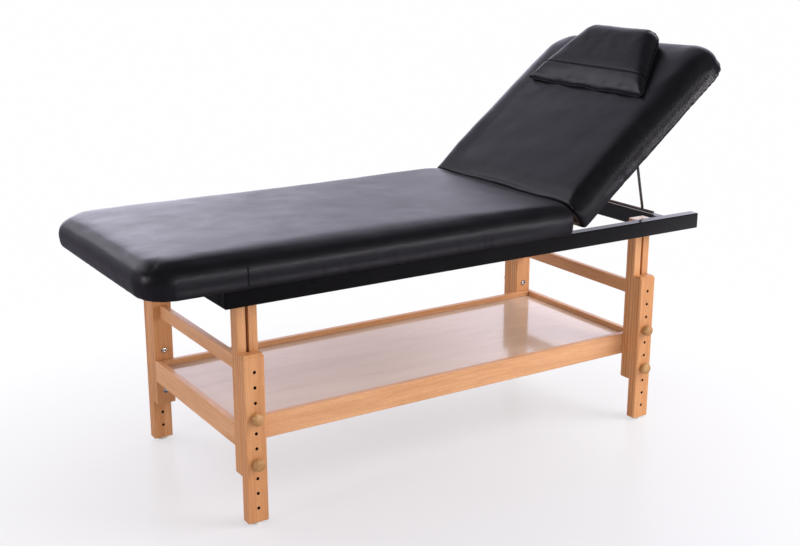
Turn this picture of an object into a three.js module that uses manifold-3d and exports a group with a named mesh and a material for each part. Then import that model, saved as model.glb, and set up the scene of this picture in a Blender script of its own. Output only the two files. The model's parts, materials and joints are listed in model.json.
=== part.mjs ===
// Massage table with a raised backrest, a loose pillow, four height-adjustable wooden legs and a shelf tray.
// Millimetres, +Z up, the foot end at -X, the head end at +X, the near side at -Y, feet on Z = 0.

import * as THREE from "three";
import { ConvexGeometry } from "three/addons/geometries/ConvexGeometry.js";
import { mergeVertices } from "three/addons/utils/BufferGeometryUtils.js";
import Module from "manifold-3d";

const wasm = await Module();
wasm.setup();

// Fits and edges
const seatGap = 0.3;
const slideGap = 0.4;
const woodEase = 2;
const boardEase = 1;
const metalEase = 0.4;
const weldTolerance = 0.001;
const overcut = 10;

// Frame of black rails
const railOuterHalf = 329.8;
const railThickness = 33;
const railBottom = 575;
const railTop = 620;
const railFootEnd = -695;
const railHeadEnd = 847;
const footCrossThickness = 28;
const headCrossFace = 711;
const headCrossThickness = 28;
const crossRailDrop = 0.7;

// Fixed upper legs
const legWidth = 56;
const legDepth = 35;
const legFootX = -653;
const legHeadX = 631;
const legTopDrop = 1;
const legBottom = 125.5;
const legGrooveWidth = 8.4;
const legGrooveDepth = 12;

// Sliding leg extensions
const extensionDepth = 32.6;
const extensionTop = 450;
const glideHeight = 6;
const extensionTopBevel = 7;
const extensionSideBevel = 3;
const holePitch = 40;
const lowestHole = 46;
const holeCount = 10;
const holeRadius = 4.3;
const holeSides = 14;
const knobHoles = [3, 6];

// Knobs with their studs
const studRadius = 3.8;
const studReach = 10;
const knobRadius = 16;
const knobNeckRadius = 11;
const knobNeckLength = 4;
const knobLength = 18;
const knobEdge = 3;
const knobCrown = 1.4;
const knobSides = 18;

// Chrome inserts in the inner faces of the fixed legs
const insertHeadRadius = 9;
const insertHeadLength = 3.6;
const insertHeadEdge = 1.2;
const insertShankRadius = 3.9;
const insertShankLength = 19;
const insertBoreRadius = 4.2;
const insertBoreDepth = 20;
const insertSocketRadius = 3;
const insertSocketDepth = 2.2;
const insertSides = 16;

// Glides under the extensions
const glideRadius = 15;
const glideEdge = 1.5;
const glideSides = 20;

// Upper stretchers
const stretcherTop = 420.3;
const stretcherBottom = 381.6;
const stretcherSetback = 22;
const stretcherThickness = 18;

// Shelf tray
const trayTop = 259;
const trayBottom = 196;
const trayRailThickness = 18;
const panelTop = 244;
const panelThickness = 9;
const panelTongue = 6;

// Hinge between the two pads
const pinX = 356;
const pinBelowPadTop = 27.5;
const pinRadius = 1.4;
const knuckleOuter = 3.2;
const knuckleInner = 1.7;
const knuckleSides = 14;
const knuckleCount = 11;
const knuckleGap = 0.4;
const leafOffset = 1.5;
const leafThickness = 1.5;
const leafHeight = 34;
const hingeHalf = 322;

// Pads
const tiltDegrees = 39;
const padRest = 0.4;
const padDepth = 85.4;
const padCrown = 3.3;
const padHalf = 350;
const padFootEnd = -905;
const padHeadReach = 668;
const padCornerRadius = 88;
const padHingeCorner = 12;
const padFaceOffset = 3.3;
const padPinClearance = 4.2;
const padSeamClearance = 0.4;
const padSeamRound = 9;
const padStockOverrun = 60;
const padArcSteps = 9;
const padEdgeSteps = 6;
const padEdgeReach = 150;
const padProfileShares = [
  { inset: 0.08, height: 0 },
  { inset: 0.033, height: 0.059 },
  { inset: 0.01, height: 0.187 },
  { inset: 0, height: 0.398 },
  { inset: 0.007, height: 0.609 },
  { inset: 0.03, height: 0.75 },
  { inset: 0.073, height: 0.861 },
  { inset: 0.127, height: 0.925 },
  { inset: 0.2, height: 0.961 },
  { inset: 0.467, height: 0.981 },
  { inset: 1, height: 0.994 },
];

// Boards and battens inside the pads
const padSideWall = 20.5;
const padFootWall = 36;
const padHeadWall = 18;
const deckCornerRadius = 72;
const deckHingeCorner = 2;
const deckBelowPin = 18;
const deckThickness = 10;
const deckHingeOffset = 6.6;
const battenSetback = 2.5;
const battenWidth = 28;
const battenCornerRoom = 5.5;
const battenFootSetback = 4;
const sideBattenFootSetback = 74;
const sideBattenHeadSetback = 78;
const headBattenWidth = 14;
const battenClearance = 0.1;

// Prop under the backrest
const propSetback = 12;
const propRise = 5.3;
const propSeatReach = 367.2;
const propSeatDepth = 43;
const propHalf = 222;
const propRodRadius = 4.1;
const propBend = 10;
const propRodSides = 12;
const propBendSteps = 5;
const axleHalf = 268;
const axleRadius = 3.6;
const axleOverlap = 16;

// Clips that hold the prop's lower rod on the cross rail
const clipHalfSpacing = 44;
const clipWidth = 24;
const clipFootReach = 11;
const clipCover = 3;
const clipBore = 4.6;

// Notched racks under the backrest deck
const rackHalfSpacing = 198;
const rackWidth = 18;
const rackClearance = 0.8;
const rackNotchDepth = 2;
const rackNotchDegrees = 4.5;
const rackNotchCount = 6;
const rackSamples = 10;
const rackLeadIn = 14;

// Pillow
const pillowLowReach = 414;
const pillowHighReach = 651;
const pillowLowHalf = 260;
const pillowHighHalf = 143;
const pillowLowRadius = 16;
const pillowHighRadius = 38;
const pillowCreaseReach = 476;
const pillowLowThickness = 17;
const pillowCreaseThickness = 33;
const pillowHighThickness = 59;
const pillowRest = 0.05;
const pillowArcSteps = 7;
const pillowEdgeSteps = 8;
const pillowEdgeReach = 80;
const pillowProfileShares = [
  { inset: 0.113, height: 0 },
  { inset: 0.038, height: 0.12 },
  { inset: 0, height: 0.42 },
  { inset: 0.019, height: 0.66 },
  { inset: 0.075, height: 0.84 },
  { inset: 0.163, height: 0.95 },
  { inset: 0.3, height: 1 },
  { inset: 0.6, height: 1.03 },
  { inset: 1, height: 1.05 },
];

// Derived places
const tilt = THREE.MathUtils.degToRad(tiltDegrees);
const legTop = railTop - legTopDrop;
const padBottom = railTop + padRest;
const padTop = padBottom + padDepth - padCrown;
const pinZ = padTop - pinBelowPadTop;
const deckHalf = padHalf - padSideWall;
const deckFootEnd = padFootEnd + padFootWall;
const deckHeadReach = padHeadReach - padHeadWall;
const battenOuterHalf = deckHalf - battenSetback;
const battenEndHalf = deckHalf - deckCornerRadius - battenCornerRoom;
const crossTop = railTop - crossRailDrop;
const propZ = crossTop + propRise;
const propX = headCrossFace + propSetback;
const propSeat = {
  x: pinX + propSeatReach * Math.cos(tilt) + propSeatDepth * Math.sin(tilt),
  z: pinZ + propSeatReach * Math.sin(tilt) - propSeatDepth * Math.cos(tilt),
};
const propLength = Math.hypot(propSeat.x - propX, propSeat.z - propZ);
const propStart = Math.atan2(propSeat.z - propZ, propSeat.x - propX);
const propTurnShare = propStart / tilt;
const legOuterHalf = railOuterHalf - railThickness - seatGap;
const legInnerHalf = legOuterHalf - legDepth;
const crossHalf = railOuterHalf - railThickness - seatGap;
const trayHalf = legInnerHalf - seatGap;
const knobHeights = knobHoles.map((hole) => lowestHole + hole * holePitch);

const wood = { color: 0xc8905f, roughness: 0.5, metalness: 0 };
const paleWood = { color: 0xc9a67a, roughness: 0.75, metalness: 0 };
const knobWood = { color: 0xb68856, roughness: 0.45, metalness: 0 };
const blackRail = { color: 0x1a191c, roughness: 0.45, metalness: 0 };
const leather = { color: 0x1d1c20, roughness: 0.38, metalness: 0 };
const chrome = { color: 0xc8cace, roughness: 0.15, metalness: 1 };
const steel = { color: 0xa9adb2, roughness: 0.35, metalness: 1 };
const laminate = { color: 0xdccdc2, roughness: 0.25, metalness: 0 };
const nylon = { color: 0xe6e3dc, roughness: 0.5, metalness: 0 };
const blackPlastic = { color: 0x232225, roughness: 0.55, metalness: 0 };

// A geometry as a solid for cutting and joining
function solidOf(geometry) {
  const bare = geometry.index ? geometry.toNonIndexed() : geometry.clone();
  bare.deleteAttribute("normal");
  bare.deleteAttribute("uv");
  const merged = mergeVertices(bare, weldTolerance);
  return new wasm.Manifold(
    new wasm.Mesh({
      numProp: 3,
      vertProperties: merged.attributes.position.array,
      triVerts: new Uint32Array(merged.index.array),
    }),
  );
}

function geometryOf(solid) {
  const mesh = solid.getMesh();
  const geometry = new THREE.BufferGeometry();
  geometry.setAttribute("position", new THREE.BufferAttribute(mesh.vertProperties, mesh.numProp));
  geometry.setIndex(new THREE.BufferAttribute(mesh.triVerts, 1));
  const flat = geometry.toNonIndexed();
  flat.computeVertexNormals();
  return flat;
}

function cut(base, tools) {
  let solid = solidOf(base);
  for (const tool of tools) {
    solid = solid.subtract(solidOf(tool));
  }
  return geometryOf(solid);
}

function join(pieces) {
  let solid = solidOf(pieces[0]);
  for (const piece of pieces.slice(1)) {
    solid = solid.add(solidOf(piece));
  }
  return geometryOf(solid);
}

// A block between two corners with all its edges broken
function block(low, high, ease) {
  const points = [];
  const ends = [low, high];
  for (let corner = 0; corner < 8; corner += 1) {
    const pick = [corner & 1, (corner >> 1) & 1, (corner >> 2) & 1];
    const place = pick.map((end, axis) => ends[end][axis]);
    for (let kept = 0; kept < 3; kept += 1) {
      const inward = pick.map((end, axis) => (axis === kept ? 0 : ease * (1 - 2 * end)));
      const shifted = place.map((value, axis) => value + inward[axis]);
      points.push(new THREE.Vector3(...shifted));
    }
  }
  return new ConvexGeometry(points);
}

// A plain block, used only for cutting
function cutter(low, high) {
  const size = low.map((value, axis) => high[axis] - value);
  const middle = low.map((value, axis) => (value + high[axis]) / 2);
  return new THREE.BoxGeometry(...size).translate(...middle);
}

// A turned piece with its axis along Y, pointing from the first profile point to the last
function turned(profile, sides) {
  const points = profile.map(([radius, along]) => new THREE.Vector2(radius, along));
  return new THREE.LatheGeometry(points, sides);
}

// A plate drawn in X and Z and pushed along Y
function plateAlongY(points, low, high) {
  const shape = new THREE.Shape(points.map(([x, z]) => new THREE.Vector2(x, z)));
  const geometry = new THREE.ExtrudeGeometry(shape, { depth: high - low, bevelEnabled: false });
  return geometry.rotateX(Math.PI / 2).translate(0, high, 0);
}

// A closed outline with rounded corners, drawn in by an even amount all round
function outlineRing(corners, inset, arcSteps, edgeSteps) {
  const count = corners.length;
  const arcs = corners.map((corner, index) => {
    const before = corners[(index + count - 1) % count];
    const after = corners[(index + 1) % count];
    const inDirection = new THREE.Vector2(corner.x - before.x, corner.y - before.y).normalize();
    const outDirection = new THREE.Vector2(after.x - corner.x, after.y - corner.y).normalize();
    const inNormal = new THREE.Vector2(-inDirection.y, inDirection.x);
    const outNormal = new THREE.Vector2(-outDirection.y, outDirection.x);
    const radius = Math.max(corner.radius - inset, corner.radius / arcSteps);
    const reach = (inset + radius) / (1 + inNormal.dot(outNormal));
    const centre = new THREE.Vector2(
      corner.x + (inNormal.x + outNormal.x) * reach,
      corner.y + (inNormal.y + outNormal.y) * reach,
    );
    const start = Math.atan2(-inNormal.y, -inNormal.x);
    let sweep = Math.atan2(-outNormal.y, -outNormal.x) - start;
    if (sweep < 0) {
      sweep += 2 * Math.PI;
    }
    const points = [];
    for (let step = 0; step <= arcSteps; step += 1) {
      const angle = start + (sweep * step) / arcSteps;
      const spoke = new THREE.Vector2(Math.cos(angle), Math.sin(angle));
      points.push(centre.clone().addScaledVector(spoke, radius));
    }
    return points;
  });
  const ring = [];
  arcs.forEach((points, index) => {
    ring.push(...points);
    const from = points[points.length - 1];
    const to = arcs[(index + 1) % count][0];
    for (let step = 1; step < edgeSteps; step += 1) {
      ring.push(from.clone().lerp(to, step / edgeSteps));
    }
  });
  return ring;
}

// A soft body built from outlines stacked from the bottom to the top
function stackedForm(rings, bottomCentre, topCentre) {
  const positions = [];
  const index = [];
  const around = rings[0].length;
  rings.forEach((ring) => ring.forEach((point) => positions.push(point.x, point.y, point.z)));
  for (let level = 0; level < rings.length - 1; level += 1) {
    for (let step = 0; step < around; step += 1) {
      const next = (step + 1) % around;
      const a = level * around + step;
      const b = level * around + next;
      const c = b + around;
      const d = a + around;
      index.push(a, b, c, a, c, d);
    }
  }
  const bottom = rings.length * around;
  const top = bottom + 1;
  const topRing = bottom - around;
  positions.push(bottomCentre.x, bottomCentre.y, bottomCentre.z);
  positions.push(topCentre.x, topCentre.y, topCentre.z);
  for (let step = 0; step < around; step += 1) {
    const next = (step + 1) % around;
    index.push(bottom, next, step);
    index.push(top, topRing + step, topRing + next);
  }
  const geometry = new THREE.BufferGeometry();
  geometry.setAttribute("position", new THREE.Float32BufferAttribute(positions, 3));
  geometry.setIndex(index);
  geometry.computeVertexNormals();
  return geometry;
}

// A flat board with rounded corners between two heights
function roundedBoard(corners, bottom, top) {
  const ring = outlineRing(corners, 0, padArcSteps, 1);
  const shape = new THREE.Shape(ring);
  const geometry = new THREE.ExtrudeGeometry(shape, { depth: top - bottom, bevelEnabled: false });
  return geometry.translate(0, 0, bottom);
}

// Corners of a pad outline that runs from one end to the other, with the hinge corners nearly square
function padCorners(hingeX, farX, half, farRadius, hingeRadius) {
  const farLow = { x: farX, y: -half, radius: farRadius };
  const farHigh = { x: farX, y: half, radius: farRadius };
  const hingeLow = { x: hingeX, y: -half, radius: hingeRadius };
  const hingeHigh = { x: hingeX, y: half, radius: hingeRadius };
  return farX < hingeX ? [farLow, hingeLow, hingeHigh, farHigh] : [hingeLow, farLow, farHigh, hingeHigh];
}

// What is cut off the hinge end of a pad: a flat face below the pin, room for the knuckles,
// and above them a face that leans so that the two pads meet when the backrest is raised.
// Drawn for the pad on the foot side, with the pin at the origin.
function seamCutter(side) {
  const half = tilt / 2;
  const along = { x: -Math.sin(half), z: Math.cos(half) };
  const away = { x: -Math.cos(half), z: -Math.sin(half) };
  const top = padTop - pinZ;
  const far = padHalf;
  const points = [
    [far, -far],
    [-padFaceOffset, -far],
  ];
  const startAngle = Math.PI + Math.acos(padFaceOffset / padPinClearance);
  const endAngle = Math.PI / 2 + half + Math.asin(padSeamClearance / padPinClearance);
  const steps = padArcSteps;
  for (let step = 0; step <= steps; step += 1) {
    const angle = startAngle + ((endAngle - startAngle) * step) / steps;
    points.push([padPinClearance * Math.cos(angle), padPinClearance * Math.sin(angle)]);
  }
  const roundStart = (top - padSeamRound) / along.z;
  const roundFoot = {
    x: away.x * padSeamClearance + along.x * roundStart,
    z: away.z * padSeamClearance + along.z * roundStart,
  };
  points.push([roundFoot.x, roundFoot.z]);
  for (let step = 1; step <= steps; step += 1) {
    const turn = (step / steps) * (Math.PI / 2 - half);
    const outward = padSeamRound * Math.sin(turn);
    const inward = padSeamRound * (1 - Math.cos(turn));
    points.push([
      roundFoot.x + along.x * outward + away.x * inward,
      roundFoot.z + along.z * outward + away.z * inward,
    ]);
  }
  const last = points[points.length - 1];
  points.push([last[0] - far, last[1] + padSeamRound / steps]);
  points.push([last[0] - far, far]);
  points.push([far, far]);
  const mirrored = points.map(([x, z]) => [side * x, z]);
  return plateAlongY(side > 0 ? mirrored : mirrored.reverse(), -2 * padHalf, 2 * padHalf);
}

// The cushion of one pad, hollow below for its board and battens; the pin is at the origin
function padCushion(side, farReach, deckFar) {
  const hingeX = side * padStockOverrun;
  const corners = padCorners(hingeX, farReach, padHalf, padCornerRadius, padHingeCorner);
  const base = padBottom - pinZ;
  const rings = padProfileShares.map((share) =>
    outlineRing(corners, share.inset * padEdgeReach, padArcSteps, padEdgeSteps).map(
      (p) => new THREE.Vector3(p.x, p.y, base + share.height * padDepth),
    ),
  );
  const middle = (hingeX + farReach) / 2;
  const form = stackedForm(
    rings,
    new THREE.Vector3(middle, 0, base),
    new THREE.Vector3(middle, 0, base + padDepth),
  );
  const pocketCorners = padCorners(
    -side * (deckHingeOffset - seatGap),
    deckFar - side * seatGap,
    deckHalf + seatGap,
    deckCornerRadius + seatGap,
    deckHingeCorner,
  );
  const pocketTop = deckThickness - deckBelowPin + seatGap;
  const pocket = roundedBoard(pocketCorners, base - overcut, pocketTop);
  return cut(form, [pocket, seamCutter(side)]);
}

function padDeck(side, deckFar) {
  const corners = padCorners(-side * deckHingeOffset, deckFar, deckHalf, deckCornerRadius, deckHingeCorner);
  return roundedBoard(corners, -deckBelowPin, deckThickness - deckBelowPin);
}

// A leaf of the long hinge: a plate under the pin with every second knuckle, the pin at the origin.
// The plate and its share of the knuckles are on the foot side; the other leaf is its mirror.
function hingeLeaf(side, firstKnuckle) {
  const plateOuter = leafOffset + leafThickness;
  const bandLow = Math.min(-side * leafOffset, -side * plateOuter);
  const bandHigh = Math.max(-side * leafOffset, -side * plateOuter);
  const plateTop = -knuckleOuter - knuckleGap;
  const pieces = [cutter([bandLow, -hingeHalf, plateTop - leafHeight], [bandHigh, hingeHalf, plateTop])];
  const bores = [];
  const pitch = (2 * hingeHalf) / knuckleCount;
  for (let knuckle = firstKnuckle; knuckle < knuckleCount; knuckle += 2) {
    const low = -hingeHalf + knuckle * pitch + knuckleGap / 2;
    const high = low + pitch - knuckleGap;
    const middle = (low + high) / 2;
    const barrel = new THREE.CylinderGeometry(knuckleOuter, knuckleOuter, high - low, knuckleSides);
    pieces.push(barrel.translate(0, middle, 0));
    pieces.push(cutter([bandLow, low, plateTop - knuckleGap], [bandHigh, high, 0]));
    const bore = new THREE.CylinderGeometry(knuckleInner, knuckleInner, pitch + overcut, knuckleSides);
    bores.push(bore.translate(0, middle, 0));
  }
  return cut(join(pieces), bores);
}

// Where the prop's upper rod runs, seen from the backrest, with the pin at the origin
function propTrack(angle) {
  const swing = propStart - propTurnShare * (tilt - angle);
  const x = propX - pinX + propLength * Math.cos(swing);
  const z = propZ - pinZ + propLength * Math.sin(swing);
  return {
    along: x * Math.cos(angle) + z * Math.sin(angle),
    up: z * Math.cos(angle) - x * Math.sin(angle),
  };
}

// A rack whose lower edge follows the prop's upper rod, with shallow notches
function propRack(side) {
  const points = [];
  const lift = propRodRadius + rackClearance;
  const notchStep = THREE.MathUtils.degToRad(rackNotchDegrees);
  const total = rackNotchCount * rackSamples;
  for (let sample = 0; sample <= total; sample += 1) {
    const phase = sample / rackSamples - 1 / 2;
    const angle = Math.min(tilt, tilt - phase * notchStep);
    const track = propTrack(angle);
    const across = 2 * ((sample % rackSamples) / rackSamples) - 1;
    const notch = rackNotchDepth * Math.sqrt(1 - across * across);
    const early = Math.max(0, -phase) * rackLeadIn;
    points.push([track.along - early, track.up + lift + notch]);
  }
  const roof = -deckBelowPin - seatGap;
  const first = points[0];
  const last = points[points.length - 1];
  const outline = [
    [first[0] - rackLeadIn, roof],
    [first[0] - rackLeadIn, first[1]],
    ...points,
    [last[0] + rackLeadIn, last[1]],
    [last[0] + rackLeadIn, roof],
  ];
  const middle = side * rackHalfSpacing;
  return plateAlongY(outline, middle - rackWidth / 2, middle + rackWidth / 2);
}

// The closed bail of bent rod, lying flat from its lower rod at the origin towards +X,
// with a short axle end welded on at each side of the lower rod
function propBail() {
  const path = [];
  const corners = [
    { x: 0, y: -propHalf, from: Math.PI },
    { x: propLength, y: -propHalf, from: -Math.PI / 2 },
    { x: propLength, y: propHalf, from: 0 },
    { x: 0, y: propHalf, from: Math.PI / 2 },
  ];
  for (const corner of corners) {
    const centreX = corner.x === 0 ? propBend : propLength - propBend;
    const centreY = corner.y < 0 ? propBend - propHalf : propHalf - propBend;
    for (let step = 0; step <= propBendSteps; step += 1) {
      const angle = corner.from + ((Math.PI / 2) * step) / propBendSteps;
      const out = new THREE.Vector3(Math.cos(angle), Math.sin(angle), 0);
      path.push({ centre: new THREE.Vector3(centreX, centreY, 0).addScaledVector(out, propBend), out });
    }
  }
  const positions = [];
  const index = [];
  path.forEach(({ centre, out }) => {
    for (let side = 0; side < propRodSides; side += 1) {
      const angle = (2 * Math.PI * side) / propRodSides;
      const across = propRodRadius * Math.cos(angle);
      positions.push(centre.x + out.x * across, centre.y + out.y * across, propRodRadius * Math.sin(angle));
    }
  });
  path.forEach((_, station) => {
    const next = (station + 1) % path.length;
    for (let side = 0; side < propRodSides; side += 1) {
      const turnTo = (side + 1) % propRodSides;
      const a = station * propRodSides + side;
      const b = next * propRodSides + side;
      const c = next * propRodSides + turnTo;
      const d = station * propRodSides + turnTo;
      index.push(a, b, c, a, c, d);
    }
  });
  const geometry = new THREE.BufferGeometry();
  geometry.setAttribute("position", new THREE.Float32BufferAttribute(positions, 3));
  geometry.setIndex(index);
  geometry.computeVertexNormals();
  const axleInner = propHalf - propBend - axleOverlap;
  const axleMiddle = (axleInner + axleHalf) / 2;
  const axles = [-1, 1].map((side) => {
    const axle = new THREE.CylinderGeometry(axleRadius, axleRadius, axleHalf - axleInner, propRodSides);
    return axle.translate(0, side * axleMiddle, 0);
  });
  return join([geometry, ...axles]);
}

function propClip(side) {
  const middle = side * clipHalfSpacing;
  const low = middle - clipWidth / 2;
  const high = middle + clipWidth / 2;
  const foot = crossTop + seatGap;
  const head = propZ + clipBore + clipCover;
  const body = block([propX - clipFootReach, low, foot], [propX + clipFootReach, high, head], boardEase);
  const bore = new THREE.CylinderGeometry(clipBore, clipBore, clipWidth + overcut, insertSides);
  const slot = cutter(
    [propX - clipBore, low - overcut, foot - overcut],
    [propX + clipBore, high + overcut, propZ],
  );
  return cut(body, [bore.translate(propX, middle, propZ), slot]);
}

// A fixed leg: groove in its outer face, blind bores for the inserts in its inner face
function fixedLeg(x, side) {
  const outer = side * legOuterHalf;
  const inner = side * legInnerHalf;
  const body = block(
    [x, Math.min(outer, inner), legBottom],
    [x + legWidth, Math.max(outer, inner), legTop],
    woodEase,
  );
  const middle = x + legWidth / 2;
  const grooveFloor = outer - side * legGrooveDepth;
  const beyond = outer + side * overcut;
  const groove = cutter(
    [middle - legGrooveWidth / 2, Math.min(grooveFloor, beyond), legBottom - overcut],
    [middle + legGrooveWidth / 2, Math.max(grooveFloor, beyond), legTop + overcut],
  );
  const bores = knobHeights.map((height) => {
    const length = insertBoreDepth + overcut;
    const bore = new THREE.CylinderGeometry(insertBoreRadius, insertBoreRadius, length, insertSides);
    const centre = inner + side * (insertBoreDepth - length / 2);
    return bore.translate(middle, centre, height);
  });
  return cut(body, [groove, ...bores]);
}

// A leg extension: a post with a bevelled top and a row of through holes
function legExtension(x, side) {
  const inner = legOuterHalf + slideGap;
  const outer = inner + extensionDepth;
  const points = [];
  for (const [depth, bevel] of [
    [inner, extensionSideBevel],
    [outer, extensionTopBevel],
  ]) {
    const within = depth === inner ? extensionSideBevel : -extensionSideBevel;
    for (const [edge, inward] of [
      [x, 1],
      [x + legWidth, -1],
    ]) {
      const shoulder = extensionTop - bevel;
      const foot = glideHeight + seatGap;
      const drawnIn = edge + inward * extensionSideBevel;
      const crownDepth = depth + within * (bevel / extensionSideBevel);
      points.push([edge, depth + within, shoulder], [drawnIn, depth, shoulder]);
      points.push([drawnIn, crownDepth, extensionTop]);
      points.push([edge, depth + within, foot + woodEase], [drawnIn, depth, foot + woodEase]);
      points.push([drawnIn, depth + within, foot]);
    }
  }
  const body = new ConvexGeometry(points.map(([px, py, pz]) => new THREE.Vector3(px, side * py, pz)));
  const bores = [];
  for (let hole = 0; hole < holeCount; hole += 1) {
    const bore = new THREE.CylinderGeometry(holeRadius, holeRadius, extensionDepth + 2 * overcut, holeSides);
    const height = lowestHole + hole * holePitch;
    bores.push(bore.translate(x + legWidth / 2, (side * (inner + outer)) / 2, height));
  }
  return cut(body, bores);
}

// A turned knob with its stud, built along Y with the face that meets the post at the origin
function knobAndStud() {
  const stud = extensionDepth + slideGap + studReach;
  return turned(
    [
      [0, -stud],
      [studRadius - metalEase, -stud],
      [studRadius, -stud + metalEase],
      [studRadius, 0],
      [knobNeckRadius, 0],
      [knobNeckRadius, knobNeckLength - woodEase],
      [knobRadius, knobNeckLength + woodEase],
      [knobRadius, knobLength - knobEdge],
      [knobRadius - knobEdge, knobLength],
      [0, knobLength + knobCrown],
    ],
    knobSides,
  );
}

// A chrome insert with a socket in its head, built along Y with the head face at the origin
function legInsert() {
  return turned(
    [
      [0, -insertShankLength],
      [insertShankRadius - metalEase, -insertShankLength],
      [insertShankRadius, metalEase - insertShankLength],
      [insertShankRadius, 0],
      [insertHeadRadius, 0],
      [insertHeadRadius, insertHeadLength - insertHeadEdge],
      [insertHeadRadius - insertHeadEdge, insertHeadLength],
      [insertSocketRadius, insertHeadLength],
      [insertSocketRadius, insertHeadLength - insertSocketDepth],
      [0, insertHeadLength - insertSocketDepth],
    ],
    insertSides,
  );
}

function glide() {
  return turned(
    [
      [0, 0],
      [glideRadius - glideEdge, 0],
      [glideRadius, glideEdge],
      [glideRadius, glideHeight],
      [0, glideHeight],
    ],
    glideSides,
  ).rotateX(Math.PI / 2);
}

// A tray rail with a groove for the panel along its inner face
function trayRail(low, high, axis, innerSide) {
  const body = block(low, high, woodEase);
  const grooveLow = [...low];
  const grooveHigh = [...high];
  const across = 1 - axis;
  if (innerSide > 0) {
    grooveLow[across] = high[across] - panelTongue - seatGap;
    grooveHigh[across] = high[across] + overcut;
  } else {
    grooveLow[across] = low[across] - overcut;
    grooveHigh[across] = low[across] + panelTongue + seatGap;
  }
  grooveLow[2] = panelTop - panelThickness - seatGap;
  grooveHigh[2] = panelTop + seatGap;
  if (axis === 0) {
    grooveLow[0] = low[0] - overcut;
    grooveHigh[0] = high[0] + overcut;
  } else {
    grooveLow[1] = low[1] + trayRailThickness - panelTongue - seatGap;
    grooveHigh[1] = high[1] - trayRailThickness + panelTongue + seatGap;
  }
  return cut(body, [cutter(grooveLow, grooveHigh)]);
}

const assembly = new THREE.Group();
assembly.name = "massage_table";

function place(parent, name, geometry, look) {
  const material = new THREE.MeshStandardMaterial(look);
  const mesh = new THREE.Mesh(geometry, material);
  mesh.name = name;
  parent.add(mesh);
  return mesh;
}

// Black frame
const sides = [
  { name: "front", side: -1 },
  { name: "rear", side: 1 },
];
const ends = [
  { name: "foot", x: legFootX },
  { name: "head", x: legHeadX },
];
for (const { name, side } of sides) {
  const outer = side * railOuterHalf;
  const inner = side * (railOuterHalf - railThickness);
  const rail = block(
    [railFootEnd, Math.min(outer, inner), railBottom],
    [railHeadEnd, Math.max(outer, inner), railTop],
    woodEase,
  );
  place(assembly, `${name}_rail`, rail, blackRail);
}
const footCross = block(
  [railFootEnd, -crossHalf, railBottom],
  [railFootEnd + footCrossThickness, crossHalf, crossTop],
  woodEase,
);
place(assembly, "foot_cross_rail", footCross, blackRail);
const headCross = block(
  [headCrossFace, -crossHalf, railBottom],
  [headCrossFace + headCrossThickness, crossHalf, crossTop],
  woodEase,
);
place(assembly, "head_cross_rail", headCross, blackRail);

// Legs, extensions, knobs, inserts and glides
for (const { name: endName, x } of ends) {
  for (const { name: sideName, side } of sides) {
    const leg = `${endName}_${sideName}`;
    const middle = x + legWidth / 2;
    const postOuter = side * (legOuterHalf + slideGap + extensionDepth);
    place(assembly, `leg_${leg}`, fixedLeg(x, side), wood);
    place(assembly, `leg_extension_${leg}`, legExtension(x, side), wood);
    const foot = place(assembly, `glide_${leg}`, glide(), nylon);
    foot.position.set(middle, postOuter - (side * extensionDepth) / 2, 0);
    knobHeights.forEach((height, row) => {
      const level = row === 0 ? "lower" : "upper";
      const knob = place(assembly, `knob_${leg}_${level}`, knobAndStud(), knobWood);
      knob.position.set(middle, postOuter + side * seatGap, height);
      knob.rotation.x = side > 0 ? 0 : Math.PI;
      const insert = place(assembly, `insert_${leg}_${level}`, legInsert(), chrome);
      insert.position.set(middle, side * (legInnerHalf - seatGap), height);
      insert.rotation.x = side > 0 ? Math.PI : 0;
    });
  }
  const stretcher = block(
    [x + stretcherSetback, seatGap - legInnerHalf, stretcherBottom],
    [x + stretcherSetback + stretcherThickness, legInnerHalf - seatGap, stretcherTop],
    woodEase,
  );
  place(assembly, `stretcher_${endName}`, stretcher, wood);
}

// Shelf tray
const trayFoot = legFootX;
const trayHead = legHeadX + legWidth;
const trayFootRail = trayRail(
  [trayFoot, -trayHalf, trayBottom],
  [trayFoot + trayRailThickness, trayHalf, trayTop],
  1,
  1,
);
place(assembly, "shelf_rail_foot", trayFootRail, wood);
const trayHeadRail = trayRail(
  [trayHead - trayRailThickness, -trayHalf, trayBottom],
  [trayHead, trayHalf, trayTop],
  1,
  -1,
);
place(assembly, "shelf_rail_head", trayHeadRail, wood);
const trayInnerFoot = trayFoot + trayRailThickness;
const trayInnerHead = trayHead - trayRailThickness;
for (const { name, side } of sides) {
  const outer = side * trayHalf;
  const inner = side * (trayHalf - trayRailThickness);
  const rail = trayRail(
    [trayInnerFoot + seatGap, Math.min(outer, inner), trayBottom],
    [trayInnerHead - seatGap, Math.max(outer, inner), trayTop],
    0,
    -side,
  );
  place(assembly, `shelf_rail_${name}`, rail, wood);
}
const panelHalf = trayHalf - trayRailThickness + panelTongue;
const panel = block(
  [trayInnerFoot - panelTongue, -panelHalf, panelTop - panelThickness],
  [trayInnerHead + panelTongue, panelHalf, panelTop],
  metalEase,
);
place(assembly, "shelf_panel", panel, laminate);

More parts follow.
